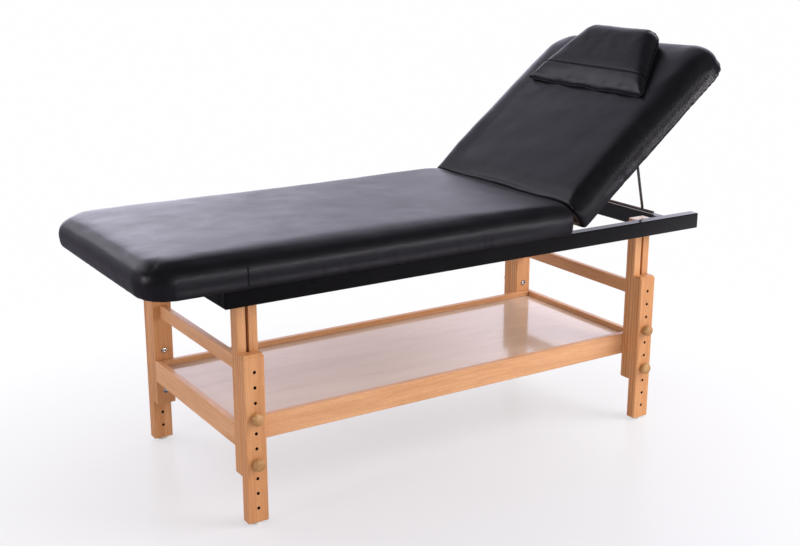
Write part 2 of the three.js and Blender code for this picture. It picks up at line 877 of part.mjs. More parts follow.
// Main pad, built round the hinge pin
const mainPad = new THREE.Group();
mainPad.name = "main_pad";
mainPad.position.set(pinX, 0, pinZ);
assembly.add(mainPad);
const mainDeckFar = deckFootEnd - pinX;
const battenTop = -deckBelowPin - seatGap;
const battenBottom = padBottom - pinZ - battenClearance;
const battenInnerHalf = battenOuterHalf - battenWidth;
place(mainPad, "main_cushion", padCushion(1, padFootEnd - pinX, mainDeckFar), leather);
place(mainPad, "main_deck", padDeck(1, mainDeckFar), paleWood);
const footBattenX = mainDeckFar + battenFootSetback;
const footBatten = block(
  [footBattenX, -battenEndHalf, battenBottom],
  [footBattenX + battenWidth, battenEndHalf, battenTop],
  boardEase,
);
place(mainPad, "main_batten_foot", footBatten, paleWood);
const mainHingeBatten = block(
  [-deckHingeOffset - battenWidth, -battenOuterHalf, battenBottom],
  [-deckHingeOffset, battenOuterHalf, battenTop],
  boardEase,
);
place(mainPad, "main_batten_hinge", mainHingeBatten, paleWood);
for (const { name, side } of sides) {
  const outer = side * battenOuterHalf;
  const inner = side * battenInnerHalf;
  const batten = block(
    [mainDeckFar + sideBattenFootSetback, Math.min(outer, inner), battenBottom],
    [-deckHingeOffset - battenWidth - seatGap, Math.max(outer, inner), battenTop],
    boardEase,
  );
  place(mainPad, `main_batten_${name}`, batten, paleWood);
}
place(mainPad, "hinge_leaf_main", hingeLeaf(1, 0), steel);
const pin = new THREE.CylinderGeometry(pinRadius, pinRadius, 2 * hingeHalf, knuckleSides);
place(mainPad, "hinge_pin", pin, steel);

// Backrest, built flat round the pin and then raised
const backrest = new THREE.Group();
backrest.name = "backrest";
backrest.position.set(pinX, 0, pinZ);
backrest.rotation.y = -tilt;
assembly.add(backrest);
place(backrest, "back_cushion", padCushion(-1, padHeadReach, deckHeadReach), leather);
place(backrest, "back_deck", padDeck(-1, deckHeadReach), paleWood);
const backHingeBatten = block(
  [deckHingeOffset, -battenOuterHalf, battenBottom],
  [deckHingeOffset + battenWidth, battenOuterHalf, battenTop],
  boardEase,
);
place(backrest, "back_batten_hinge", backHingeBatten, paleWood);
const backHeadBatten = block(
  [deckHeadReach - headBattenWidth, -battenEndHalf, battenBottom],
  [deckHeadReach - seatGap, battenEndHalf, battenTop],
  boardEase,
);
place(backrest, "back_batten_head", backHeadBatten, paleWood);
for (const { name, side } of sides) {
  const outer = side * battenOuterHalf;
  const inner = side * battenInnerHalf;
  const batten = block(
    [deckHingeOffset + battenWidth + seatGap, Math.min(outer, inner), battenBottom],
    [deckHeadReach - sideBattenHeadSetback, Math.max(outer, inner), battenTop],
    boardEase,
  );
  place(backrest, `back_batten_${name}`, batten, paleWood);
  place(backrest, `prop_rack_${name}`, propRack(side), wood);
}
place(backrest, "hinge_leaf_back", hingeLeaf(-1, 1), steel);

// Pillow on the backrest
const pillowCorners = [
  { x: pillowLowReach, y: -pillowLowHalf, radius: pillowLowRadius },
  { x: pillowHighReach, y: -pillowHighHalf, radius: pillowHighRadius },
  { x: pillowHighReach, y: pillowHighHalf, radius: pillowHighRadius },
  { x: pillowLowReach, y: pillowLowHalf, radius: pillowLowRadius },
];
const pillowBase = padBottom - pinZ + padDepth + pillowRest;

function pillowThickness(along) {
  if (along < pillowCreaseReach) {
    const share = (along - pillowLowReach) / (pillowCreaseReach - pillowLowReach);
    return THREE.MathUtils.lerp(pillowLowThickness, pillowCreaseThickness, share);
  }
  const share = (along - pillowCreaseReach) / (pillowHighReach - pillowCreaseReach);
  return THREE.MathUtils.lerp(pillowCreaseThickness, pillowHighThickness, share);
}

const pillowRings = pillowProfileShares.map((share) =>
  outlineRing(pillowCorners, share.inset * pillowEdgeReach, pillowArcSteps, pillowEdgeSteps).map(
    (p) => new THREE.Vector3(p.x, p.y, pillowBase + share.height * pillowThickness(p.x)),
  ),
);
const pillowMiddle = (pillowLowReach + pillowHighReach) / 2;
const pillowPeak = pillowProfileShares[pillowProfileShares.length - 1].height * pillowThickness(pillowMiddle);
const pillow = stackedForm(
  pillowRings,
  new THREE.Vector3(pillowMiddle, 0, pillowBase),
  new THREE.Vector3(pillowMiddle, 0, pillowBase + pillowPeak),
);
place(backrest, "pillow", pillow, leather);

// Prop and its clips
const prop = new THREE.Group();
prop.name = "prop";
prop.position.set(propX, 0, propZ);
prop.rotation.y = -propStart;
assembly.add(prop);
place(prop, "prop_bail", propBail(), chrome);
for (const { name, side } of sides) {
  place(assembly, `prop_clip_${name}`, propClip(side), blackPlastic);
}

// The origin lies on the floor under the middle of the whole
assembly.updateMatrixWorld(true);
const bounds = new THREE.Box3().setFromObject(assembly, true);
assembly.position.x = -(bounds.min.x + bounds.max.x) / 2;
assembly.position.y = -(bounds.min.y + bounds.max.y) / 2;
const group = new THREE.Group();
group.name = "massage_table_part";
group.add(assembly);

export default group;
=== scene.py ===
import json
import math
import random

import bmesh
import bpy
import numpy as np
from mathutils import Matrix, Vector, noise


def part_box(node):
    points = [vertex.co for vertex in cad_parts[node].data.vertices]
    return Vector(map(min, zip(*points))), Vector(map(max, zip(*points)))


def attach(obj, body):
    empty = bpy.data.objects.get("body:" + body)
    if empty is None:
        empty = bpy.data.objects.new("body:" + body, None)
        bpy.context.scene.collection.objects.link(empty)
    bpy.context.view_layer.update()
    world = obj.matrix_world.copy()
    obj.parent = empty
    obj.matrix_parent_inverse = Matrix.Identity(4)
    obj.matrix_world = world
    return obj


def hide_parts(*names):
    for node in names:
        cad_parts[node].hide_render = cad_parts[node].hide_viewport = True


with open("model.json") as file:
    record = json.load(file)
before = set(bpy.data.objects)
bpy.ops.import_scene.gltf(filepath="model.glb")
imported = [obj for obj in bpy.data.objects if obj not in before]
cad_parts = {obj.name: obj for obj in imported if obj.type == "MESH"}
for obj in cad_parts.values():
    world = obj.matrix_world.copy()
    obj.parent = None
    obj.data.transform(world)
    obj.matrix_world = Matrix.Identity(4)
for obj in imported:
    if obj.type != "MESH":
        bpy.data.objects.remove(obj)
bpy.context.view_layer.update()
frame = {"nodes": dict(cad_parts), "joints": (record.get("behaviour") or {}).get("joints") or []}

nodes = frame["nodes"]
joints = {joint["name"]: joint for joint in frame["joints"]}
pin = Vector(joints["backrest_tilt"]["pos_m"])
tilt = math.radians(39)
tiny = 1e-6
print("frame loaded:", len(nodes), "nodes")


# placing
def fromMain(u, y, n):  # u runs from the hinge pin towards the foot end, n is up from the pin
    return Vector((pin.x - u, y, pin.z + n))


def fromBack(u, y, n):  # the same for the raised backrest, u towards its head end
    along = u * math.cos(tilt) - n * math.sin(tilt)
    up = u * math.sin(tilt) + n * math.cos(tilt)
    return Vector((pin.x + along, y, pin.z + up))


def toMain(p):
    return pin.x - p.x, p.y, p.z - pin.z


def toBack(p):
    x, z = p.x - pin.x, p.z - pin.z
    return x * math.cos(tilt) + z * math.sin(tilt), p.y, z * math.cos(tilt) - x * math.sin(tilt)


def clip(value):
    return min(1, max(0, value))


def rise(value, start, over):  # from 0 at start to 1 further on
    return clip((value - start) / over)


def fall(value, end, over):  # from 1 down to 0 at end
    return clip((end - value) / over)


def ease(share):
    return share * share * (3 - 2 * share)


def between(first, last, share):
    return first + (last - first) * share


def noiseAt(*place):
    return noise.noise(Vector(place))


def bell(distance, wide):
    return math.exp(-((distance / wide) ** 2))


# meshes
def makeObject(name, points, faces, material=None, smooth=True, shown=True):
    mesh = bpy.data.meshes.new(name)
    mesh.from_pydata([tuple(p) for p in points], [], faces)
    mesh.update()
    if smooth:
        mesh.shade_smooth()
    made = bpy.data.objects.new(name, mesh)
    if shown:
        bpy.context.scene.collection.objects.link(made)
    if material:
        mesh.materials.append(material)
    return made


def faceOutwards(made):
    work = bmesh.new()
    work.from_mesh(made.data)
    bmesh.ops.remove_doubles(work, verts=work.verts, dist=1e-7)
    bmesh.ops.recalc_face_normals(work, faces=work.faces)
    work.to_mesh(made.data)
    work.free()


def bakedMesh(made):
    bpy.context.view_layer.update()
    return bpy.data.meshes.new_from_object(made.evaluated_get(bpy.context.evaluated_depsgraph_get()))


def bakeModifiers(made):
    made.update_tag()
    baked, old = bakedMesh(made), made.data
    made.modifiers.clear()
    made.data = baked
    baked.name = made.name
    if old.users == 0:
        bpy.data.meshes.remove(old)


def refine(made):
    finer = made.modifiers.new("finer", "SUBSURF")
    finer.levels = finer.render_levels = 1
    bakeModifiers(made)


def finishPiece(made, body, slot, *replaced):
    if replaced:
        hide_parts(*replaced)
    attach(made, body)


def gridFaces(rows, columns):
    for i in range(rows - 1):
        for j in range(columns - 1):
            a = i * columns + j
            yield (a, a + columns, a + columns + 1, a + 1)


def gridBorder(rows, columns):  # once round the grid, from its first point
    border = [i * columns for i in range(rows)] + [(rows - 1) * columns + j for j in range(1, columns)]
    border += [i * columns + columns - 1 for i in range(rows - 2, -1, -1)]
    return border + [j for j in range(columns - 2, 0, -1)]


# node trees
class Signal:  # the output of a node, so that sums of values read as sums
    def __init__(self, graph, socket):
        self.graph = graph
        self.socket = socket

    def __add__(self, other):
        return self.graph.maths("ADD", self, other)

    def __sub__(self, other):
        return self.graph.maths("SUBTRACT", self, other)

    def __rsub__(self, other):
        return self.graph.maths("SUBTRACT", other, self)

    def __mul__(self, other):
        return self.graph.maths("MULTIPLY", self, other)

    def __truediv__(self, other):
        return self.graph.maths("DIVIDE", self, other)


class Graph:  # a node tree, with a short way to add each kind of node
    def __init__(self, tree):
        self.tree = tree

    def feed(self, node, inputs):
        for key, value in inputs.items():
            socket = node.inputs[key.replace("_", " ") if isinstance(key, str) else key]
            if isinstance(value, Signal):
                self.tree.links.new(value.socket, socket)
            else:
                socket.default_value = value

    def add(self, kind, out=0, inputs=None, **settings):
        node = self.tree.nodes.new(kind)
        for key, value in settings.items():
            setattr(node, key, value)
        self.feed(node, inputs or {})
        return Signal(self, node.outputs[out])

    def maths(self, operation, *values, clamp=False):
        return self.add("ShaderNodeMath", 0, dict(enumerate(values)), operation=operation, use_clamp=clamp)

    def size(self, value):
        return self.maths("ABSOLUTE", value)

    def blend(self, share, first, second, mode="MIX"):
        sockets = {0: share, 6: first, 7: second}
        return self.add("ShaderNodeMix", 2, sockets, data_type="RGBA", blend_type=mode)

    def ramp(self, source, stops):
        made = self.add("ShaderNodeValToRGB", 0, {0: source})
        elements = made.socket.node.color_ramp.elements
        while len(elements) < len(stops):
            elements.new(0.5)
        for element, (place, colour) in zip(elements, stops):
            element.position = place
            element.color = (*colour, 1)
        return made

    def place(self, kind="Object"):
        return self.add("ShaderNodeTexCoord", kind)

    def axis(self, letter, place=None):
        return self.add("ShaderNodeSeparateXYZ", letter, {"Vector": place or self.place()})

    def points(self, scale=(1, 1, 1), turn=(0, 0, 0)):
        place = self.place()
        if any(turn):
            place = self.add("ShaderNodeMapping", 0, {"Vector": place, "Rotation": turn})
        return self.add("ShaderNodeMapping", 0, {"Vector": place, "Scale": scale})

    def noise(self, points, scale, detail=3.0, rough=0.55, distortion=0.0):
        inputs = {"Vector": points, "Scale": scale, "Detail": detail}
        return self.add("ShaderNodeTexNoise", "Fac", {**inputs, "Roughness": rough, "Distortion": distortion})

    def vectors(self, operation, other):
        return self.add("ShaderNodeVectorMath", "Value", {0: self.place(), 1: other}, operation=operation)

    def along(self, direction, start=0):  # metres past the start in that direction
        return self.vectors("DOT_PRODUCT", direction) - start

    def ease(self, source, low, high, first=0, last=1, way="SMOOTHSTEP"):
        inputs = {"Value": source, "From Min": low, "From Max": high, "To Min": first, "To Max": last}
        return self.add("ShaderNodeMapRange", 0, inputs, interpolation_type=way)

    def bump(self, *layers):  # layers of (height, strength, distance in metres)
        under = {}
        for height, strength, distance in layers:
            inputs = {"Height": height, "Strength": strength, "Distance": distance, **under}
            under = {"Normal": self.add("ShaderNodeBump", 0, inputs)}
        return under["Normal"]


# materials
def startMaterial(name, **values):
    material = bpy.data.materials.new(name)
    material.use_nodes = True
    graph = Graph(material.node_tree)
    shader = material.node_tree.nodes["Principled BSDF"]
    graph.feed(shader, values)
    return material, graph, shader


def shaded(colour, share):
    return tuple(min(1, c * share) for c in colour)


woodLook = {
    "light": (0.74, 0.375, 0.170),
    "middle": (0.67, 0.315, 0.132),
    "dark": (0.57, 0.245, 0.095),
    "fleck": (0.42, 0.18, 0.07),
    "glue": (0.27, 0.095, 0.032),
    "glueHalf": 0.0008,
    "sawn": (0.80, 0.66, 0.64),
    "grain": 0.55,
    "roughness": 0.38,
}
# scale along and across the grain, then the noise's scale, detail, roughness and distortion
woodStreaks = {
    "broad": (0.9, 14, 1.6, 4, 0.6, 0.9),
    "rings": (1.6, 95, 1.3, 5, 0.5, 1.4),
    "fibre": (22, 900, 1.0, 3, 0.6),
    "flecks": (110, 1300, 1.0, 1.5, 0.5),
}
white = (1, 1, 1)
ringStops = [(0.38, white), (0.50, (0.84, 0.77, 0.70)), (0.58, white)]
fibreStops = [(0.35, (0.84, 0.80, 0.76)), (0.60, white)]


def makeWood(name, grain, look=woodLook, turn=(0, 0, 0), glueAt=(), lacquer=0.2, bareTop=None):
    material, graph, shader = startMaterial(name, IOR=1.42, Coat_Weight=lacquer, Coat_Roughness=0.2)

    def streaks(lengthwise, across, *details):
        scale = tuple(lengthwise if axis == grain else across for axis in "XYZ")
        return graph.noise(graph.points(scale, turn), *details)

    broad, rings, fibre, flecks = [streaks(*row) for row in woodStreaks.values()]
    colour = graph.ramp(broad, [(0.30, look["dark"]), (0.50, look["middle"]), (0.68, look["light"])])
    colour = graph.blend(look["grain"], colour, graph.ramp(rings, ringStops), "MULTIPLY")
    colour = graph.blend(0.7, colour, graph.ramp(fibre, fibreStops), "MULTIPLY")
    colour = graph.blend(graph.maths("GREATER_THAN", flecks, 0.66) * 0.55, colour, (*look["fleck"], 1))
    if glueAt:
        across = graph.size(graph.axis("Y"))
        line = 0
        for depth in glueAt:
            near = graph.maths("LESS_THAN", graph.size(across - depth), look["glueHalf"])
            line = graph.maths("MAXIMUM", near, line)
        colour = graph.blend(line * 0.95, colour, (*look["glue"], 1))
    if bareTop:  # the sawn leg tops carry no lacquer
        sawn = graph.maths("GREATER_THAN", graph.axis("Z"), bareTop)
        colour = graph.blend(sawn, colour, (*look["sawn"], 1))
    normal = graph.bump((fibre, 0.12, 0.0006), (rings, 0.10, 0.001))
    rough = broad * 0.22 + (look["roughness"] - 0.12)
    graph.feed(shader, {"Base Color": colour, "Roughness": rough, "Normal": normal})
    return material


leatherLook = {
    "cells": 760.0,
    "fine": (1500, 2),
    "soft": (26, 3, 0.5, 0.3),
    "broad": (6.5, 3, 0.5, 0.6),
    "creaseScale": (9, 26, 20),
    "crease": (1.3, 4, 0.55, 1.2),
    # painted light: a lavender cast on the leather's reflections
    "tint": (0.94, 0.91, 1.0, 1),
    "tones": [(0.3, (0.0055, 0.0050, 0.0064)), (0.7, (0.0085, 0.0078, 0.0098))],
    "pebbles": ((0.003, 0.0028, 0.0035, 1), (0.0095, 0.0088, 0.0110, 1)),
    # painted shade in the seam's notch
    "seam": (0.002, 0.002, 0.0025, 1),
    "fold": (0.003, 0.003, 0.0035, 1),
}


def makeLeather(name, turn=(0, 0, 0), seam=None, fold=None, paintedSheen=None):
    leather = leatherLook
    material, graph, shader = startMaterial(name, IOR=1.40, Specular_Tint=leather["tint"])
    points = graph.points(turn=turn)
    cells = {"Vector": points, "Scale": leather["cells"]}
    cells = graph.add("ShaderNodeTexVoronoi", "Distance", cells, feature="DISTANCE_TO_EDGE")
    pebble = graph.ramp(cells, [(0.0, (0, 0, 0)), (0.32, white)])
    fine, soft, broad = [graph.noise(points, *leather[kind]) for kind in ("fine", "soft", "broad")]
    crease = graph.noise(graph.points(leather["creaseScale"], turn), *leather["crease"])
    tone = graph.ramp(soft, leather["tones"])
    tone = graph.blend(0.35, tone, graph.blend(pebble, *leather["pebbles"]))
    rough = broad * 0.12 + 0.24 + soft * 0.05
    layers = [(broad, 0.14, 0.008), (crease, 0.12, 0.003), (pebble, 0.14, 0.00025), (fine, 0.06, 0.0002)]
    level = 0.5
    # painted shade: the seam's notch is darkened in colour, besides the bump that cuts it in
    if seam:
        gap = graph.size(graph.axis("X") - seam["x"])
        side = graph.maths("GREATER_THAN", graph.size(graph.axis("Y")), seam["fromY"])
        low = graph.maths("LESS_THAN", graph.axis("Z"), seam["top"])
        shut = graph.maths("SUBTRACT", 1.0, gap / seam["half"], clamp=True) * side * low
        tone = graph.blend(shut, tone, leather["seam"])
        layers.append((1.0 - shut, 0.9, 0.002))
    if fold:  # a pressed crease catches no light
        gap = graph.size(graph.along(fold["along"], fold["at"]))
        shut = graph.maths("SUBTRACT", 1.0, gap / fold["half"], clamp=True)
        tone = graph.blend(shut, tone, leather["fold"])
        rough = rough + shut * 0.3
        level = 0.5 - shut * 0.38
    if paintedSheen:  # painted sheen: the near side's reflection is dimmed half way up, and brightened into painted glints along the gathered hem, through the specular level
        height = graph.along(paintedSheen["up"], paintedSheen["base"])
        reach = graph.along(paintedSheen["along"], paintedSheen["start"])
        outer = graph.ease(graph.along((0, -1, 0)), *paintedSheen["side"])
        band = graph.ease(height, *paintedSheen["bandFoot"]) - graph.ease(height, *paintedSheen["bandHead"])
        hem = graph.ease(reach, *paintedSheen["hemFrom"])
        hem = graph.maths("SUBTRACT", hem, graph.ease(height, *paintedSheen["hemTop"]), clamp=True)
        level = (hem * paintedSheen["paintedHemGlint"] - band * paintedSheen["paintedBandDimming"]) * outer + 0.5
    normal = graph.bump(*layers)
    look = {"Base Color": tone, "Roughness": rough, "Specular IOR Level": level, "Normal": normal}
    graph.feed(shader, look)
    return material


def makePaint(name, colour, roughness, grain=(4, 120, 120), turn=(0, 0, 0), level=0.5, paintedReflectionStops=()):
    material, graph, shader = startMaterial(name, IOR=1.4, Specular_IOR_Level=level)
    if paintedReflectionStops:  # painted reflection: the coat grows along X, so the rail reads brighter towards the head end (metres along X, share of the coat)
        start, end = paintedReflectionStops[0][0], paintedReflectionStops[-1][0]
        place = (graph.axis("X") - start) / (end - start)
        coat = graph.ramp(place, [((x - start) / (end - start), (share,) * 3) for x, share in paintedReflectionStops])
        graph.feed(shader, {"Coat Weight": coat, "Coat IOR": 1.7, "Coat Roughness": 0.10})
    long = graph.noise(graph.points(grain, turn), 1.5, 4)
    cloudy = graph.noise(graph.points(turn=turn), 9, 3)
    tone = graph.ramp(cloudy, [(0.3, shaded(colour, 0.72)), (0.7, shaded(colour, 1.28))])
    speckle = graph.noise(graph.points(turn=turn), 420, 2)
    normal = graph.bump((long, 0.10, 0.0008), (speckle, 0.05, 0.0004))
    graph.feed(shader, {"Base Color": tone, "Roughness": long * 0.2 + (roughness - 0.1), "Normal": normal})
    return material


def makeMetal(name, colour, roughness, brushed=0.0):
    material, graph, shader = startMaterial(name, Metallic=1.0)
    smudge = graph.noise(graph.points(), 60, 4)
    scratch = graph.noise(graph.points((900, 40, 900)), 1.0, 2)
    tone = graph.ramp(smudge, [(0.3, shaded(colour, 0.88)), (0.7, colour)])
    rough = smudge * 0.12 + roughness + scratch * brushed
    normal = graph.bump((scratch, 0.05 + brushed, 0.0002))
    graph.feed(shader, {"Base Color": tone, "Roughness": rough, "Normal": normal})
    return material


def makeLaminate(name):
    material, graph, shader = startMaterial(name, IOR=1.40, Coat_Weight=0.25, Coat_Roughness=0.04)
    cloudy = graph.noise(graph.points((1.2, 7, 7)), 2.2, 4, 0.55, 0.5)
    fine = graph.noise(graph.points((30, 420, 420)), 1.0, 3)
    tone = graph.ramp(cloudy, [(0.3, (0.63, 0.470, 0.372)), (0.7, (0.71, 0.545, 0.440))])
    grain = graph.ramp(fine, [(0.4, (0.8, 0.74, 0.68)), (0.6, white)])
    tone = graph.blend(0.25, tone, grain, "MULTIPLY")
    normal = graph.bump((cloudy, 0.06, 0.004), (fine, 0.03, 0.0003))
    graph.feed(shader, {"Base Color": tone, "Roughness": cloudy * 0.10 + 0.10, "Normal": normal})
    return material


padBase = -0.0546
creaseAt = 0.484
backTurn = (0, tilt, 0)
backWay = Vector((math.cos(tilt), 0, math.sin(tilt)))
backUp = Vector((-math.sin(tilt), 0, math.cos(tilt)))
# painted sheen on the backrest's near side: a dimmed band half way up, painted glints along the hem
backPaintedSheen = {
    "up": backUp,
    "base": backUp.dot(pin) + padBase,
    "along": backWay,
    "start": backWay.dot(pin),
    "side": (0.322, 0.334),
    "bandFoot": (0.020, 0.038),
    "bandHead": (0.060, 0.082),
    "paintedBandDimming": 0.29,
    "hemFrom": (0.40, 0.54),
    "hemTop": (0.010, 0.026),
    "paintedHemGlint": 0.40,
}
pillowFold = {"along": backWay, "at": creaseAt + backWay.dot(pin), "half": 0.006}
sideSeamShade = {"x": -0.63673, "fromY": 0.33, "top": 0.6765, "half": 0.0021}  # down the sides, near the foot end, where the seam's notch is painted in shade
legTop = max(v.co.z for v in nodes["leg_foot_front"].data.vertices)
legGlue = (0.2732, 0.2848, 0.3078, 0.3187)
# painted reflection: the black rails carry more coat towards the head end
railPaintedReflection = ((-0.68, 0.05), (0.05, 0.15), (0.36, 0.22), (0.50, 0.34), (0.62, 0.50), (0.74, 0.72), (0.83, 1.0))
even = (60, 60, 60)
paleWood = dict(woodLook, light=(0.80, 0.44, 0.235), middle=(0.74, 0.385, 0.190), dark=(0.64, 0.31, 0.140))
plainWood = {
    "light": (0.74, 0.54, 0.33),
    "middle": (0.63, 0.43, 0.25),
    "dark": (0.50, 0.31, 0.165),
    "fleck": (0.33, 0.19, 0.09),
    "grain": 0.85,
    "roughness": 0.62,
}
knobWood = {
    "light": (0.62, 0.36, 0.155),
    "middle": (0.50, 0.265, 0.105),
    "dark": (0.36, 0.17, 0.06),
    "fleck": (0.22, 0.10, 0.035),
    "grain": 0.85,
    "roughness": 0.34,
}
looks = {
    "legs": makeWood("legWood", "Z", glueAt=legGlue, bareTop=legTop - 0.003),
    "railsX": makeWood("longRailWood", "X", paleWood),
    "railsY": makeWood("crossRailWood", "Y", paleWood),
    "knobs": makeWood("knobWood", "Y", knobWood, lacquer=0.4),
    # painted shade: a near-black colour for the walls of the drilled holes
    "holeWood": makePaint("holeWood", (0.030, 0.017, 0.009), 0.8, even),
    "innerMain": makeWood("innerWood", "X", plainWood, lacquer=0.0),
    "innerBack": makeWood("innerWoodBack", "X", plainWood, backTurn, lacquer=0.0),
    "leather": makeLeather("padLeather", seam=sideSeamShade),
    "leatherBack": makeLeather("padLeatherBack", backTurn, paintedSheen=backPaintedSheen),
    "leatherPillow": makeLeather("pillowLeather", backTurn, fold=pillowFold),
    "rail": makePaint("blackRail", (0.0028, 0.0023, 0.0030), 0.22, level=0.04, paintedReflectionStops=railPaintedReflection),
    "plastic": makePaint("blackPlastic", (0.017, 0.017, 0.019), 0.5, even),
    "nylon": makePaint("glideNylon", (0.78, 0.75, 0.70), 0.45, even),
    "chrome": makeMetal("polishedChrome", (0.78, 0.79, 0.81), 0.05),
    "steel": makeMetal("zincSteel", (0.52, 0.53, 0.54), 0.28, 0.15),
    "propSteel": makeMetal("propSteel", (0.20, 0.20, 0.21), 0.16),
    # the hinge leaves are given a near-black, dull colour, so they read black
    "hingePaint": makePaint("hingePaint", (0.0060, 0.0052, 0.0066), 0.50, even, level=0.2),
    "darkSteel": makeMetal("darkSteel", (0.16, 0.155, 0.165), 0.25, 0.1),
    "laminate": makeLaminate("shelfLaminate"),
}
nodeLooks = [  # the first start of a name that fits
    ("leg", "legs"),
    (("front_rail", "rear_rail", "foot_cross_rail", "head_cross_rail"), "rail"),
    (("shelf_rail_front", "shelf_rail_rear"), "railsX"),
    (("shelf_rail", "stretcher"), "railsY"),
    ("shelf_panel", "laminate"),
    ("hinge", "hingePaint"),
    ("prop_clip", "plastic"),
    (("back_deck", "back_batten", "prop_rack"), "innerBack"),
    ("", "innerMain"),
]


def paintHoleShade(node):  # painted shade: the drilled walls, told by their slanted facets, are given a near-black colour
    faces = node.data.polygons
    slanted = [f for f in faces if abs(f.normal.y) < 0.02 and min(abs(f.normal.x), abs(f.normal.z)) > 0.08]
    spots = [f.center.xz for f in slanted]
    for face in faces:
        if abs(face.normal.y) > 0.02:
            continue
        corners = [node.data.vertices[v].co.xz for v in face.vertices]
        small = max((a - b).length for a in corners for b in corners) < 0.004
        if small and any((face.center.xz - spot).length < 0.003 for spot in spots):
            face.material_index = 1


for name, node in nodes.items():
    node.data.materials.clear()
    node.data.materials.append(looks[next(look for start, look in nodeLooks if name.startswith(start))])
    if name.startswith("leg_extension"):
        node.data.materials.append(looks["holeWood"])
        paintHoleShade(node)
print("materials made")


# pads
padShape = {
    "half": 0.350,
    "farRadius": 0.088,
    "hingeRadius": 0.009,
    "base": padBase,
    "faceOffset": 0.0036,
    "faceReach": 0.06,
    "pinRoom": 0.0047,
    "seamGap": 0.0005,
    "seamRound": 0.010,
    "edgeInset": 0.0060,
    "edgeHeight": 0.064,
    "edgeFade": 0.019,
    "swell": 0.0022,
    "pocketFrom": 0.0063,
    "pocketHalf": 0.3299,
    "pocketUp": 0.0463,
    "pocketRadius": 0.0725,
    "levels": (0, 0.004, 0.010, 0.016, 0.022, 0.028, 0.034, 0.040, 0.046, 0.052, 0.058),
    "tuckTop": 0.036,
    "fineStep": 0.005,
    "fineSteps": 7,
    "step": 0.0095,
}
sideProfile = [  # height above the hem, and how far in the side stands there
    (0.0, 0.0165),
    (0.004, 0.0108),
    (0.010, 0.0062),
    (0.018, 0.0028),
    (0.028, 0.0006),
    (0.036, 0.0),
    (0.050, 0.0015),
    (0.064, 0.0060),
]
topRoll = {"top": 0.0856, "drop": 0.0190, "slowDrop": 0.0029, "slowReach": 0.060}
mainPad = {
    "reach": 1.261,
    "pocketReach": 1.2253,
    "seed": 4,
    "tuck": 0.4,
    "endTuck": 1.0,
    "rollReach": 0.0165,
    "pull": (1, -0.002, -0.012),
    "bow": 0,
    "seamWave": -0.0062,
}
backPad = {
    "reach": 0.668,
    "pocketReach": 0.6503,
    "seed": 11,
    "tuck": 0.25,
    "endTuck": 0.25,
    "rollReach": 0.0095,
    "pull": (-1, 0.021, 0.003),
    "bow": 0.010,
    "seamWave": 0.0062,
    "gathers": {"from": 0.42, "over": 0.12, "high": 0.030, "wave": 0.021, "drift": 0.9, "depth": 0.0011},
    "farFill": {
        "out": 0.0065,
        "up": 0.0045,
        "start": (0.02, 0.10),
        "stop": (0.03, 0.14),
        "side": (0.24, 0.09),
        "height": (0.012, 0.035),
    },
}


def smoothTable(table, value):
    keys = [row[0] for row in table]
    if value <= keys[0]:
        return table[0][1]
    if value >= keys[-1]:
        return table[-1][1]
    at = max(i for i, key in enumerate(keys) if key <= value)
    (x0, y0), (x1, y1) = table[at], table[at + 1]
    slope = lambda i, j: (table[j][1] - table[i][1]) / (table[j][0] - table[i][0])
    before = slope(max(at - 1, 0), at + 1)
    after = slope(at, min(at + 2, len(table) - 1))
    span = x1 - x0
    t = (value - x0) / span
    held = (2 * t**3 - 3 * t**2 + 1) * y0 + (3 * t**2 - 2 * t**3) * y1
    return held + span * ((t**3 - 2 * t**2 + t) * before + (t**3 - t**2) * after)


def rollHeight(inward, reach):  # the top of the pad, falling off in one smooth roll towards its edge
    r = topRoll
    near = max(0, inward - padShape["edgeInset"])
    return r["top"] - r["drop"] * math.exp(-near / reach) - r["slowDrop"] * math.exp(-inward / r["slowReach"])


def gridLines(length):
    s = padShape
    edge = [s["fineStep"] * k for k in range(s["fineSteps"])]
    inner = length - 2 * edge[-1]
    count = max(2, round(inner / s["step"]))
    middle = [edge[-1] + inner * k / count for k in range(1, count)]
    return edge + middle + [length - e for e in reversed(edge)]


def roundCorner(u, y, cornerU, cornerY, direction):
    du = (u - cornerU) * direction
    dy = abs(y) - cornerY
    if du <= 0 or dy <= 0:
        return u, y
    scale = max(du, dy) / math.hypot(du, dy)
    return cornerU + direction * du * scale, math.copysign(cornerY + dy * scale, y)


def hingeFace(n):  # how far the end face stands back from the pin at height n
    lean = n * math.tan(tilt / 2) + padShape["seamGap"] / math.cos(tilt / 2)
    room = math.sqrt(max(0, padShape["pinRoom"] ** 2 - n * n))
    return max(room, lean if n > 0 else padShape["faceOffset"])


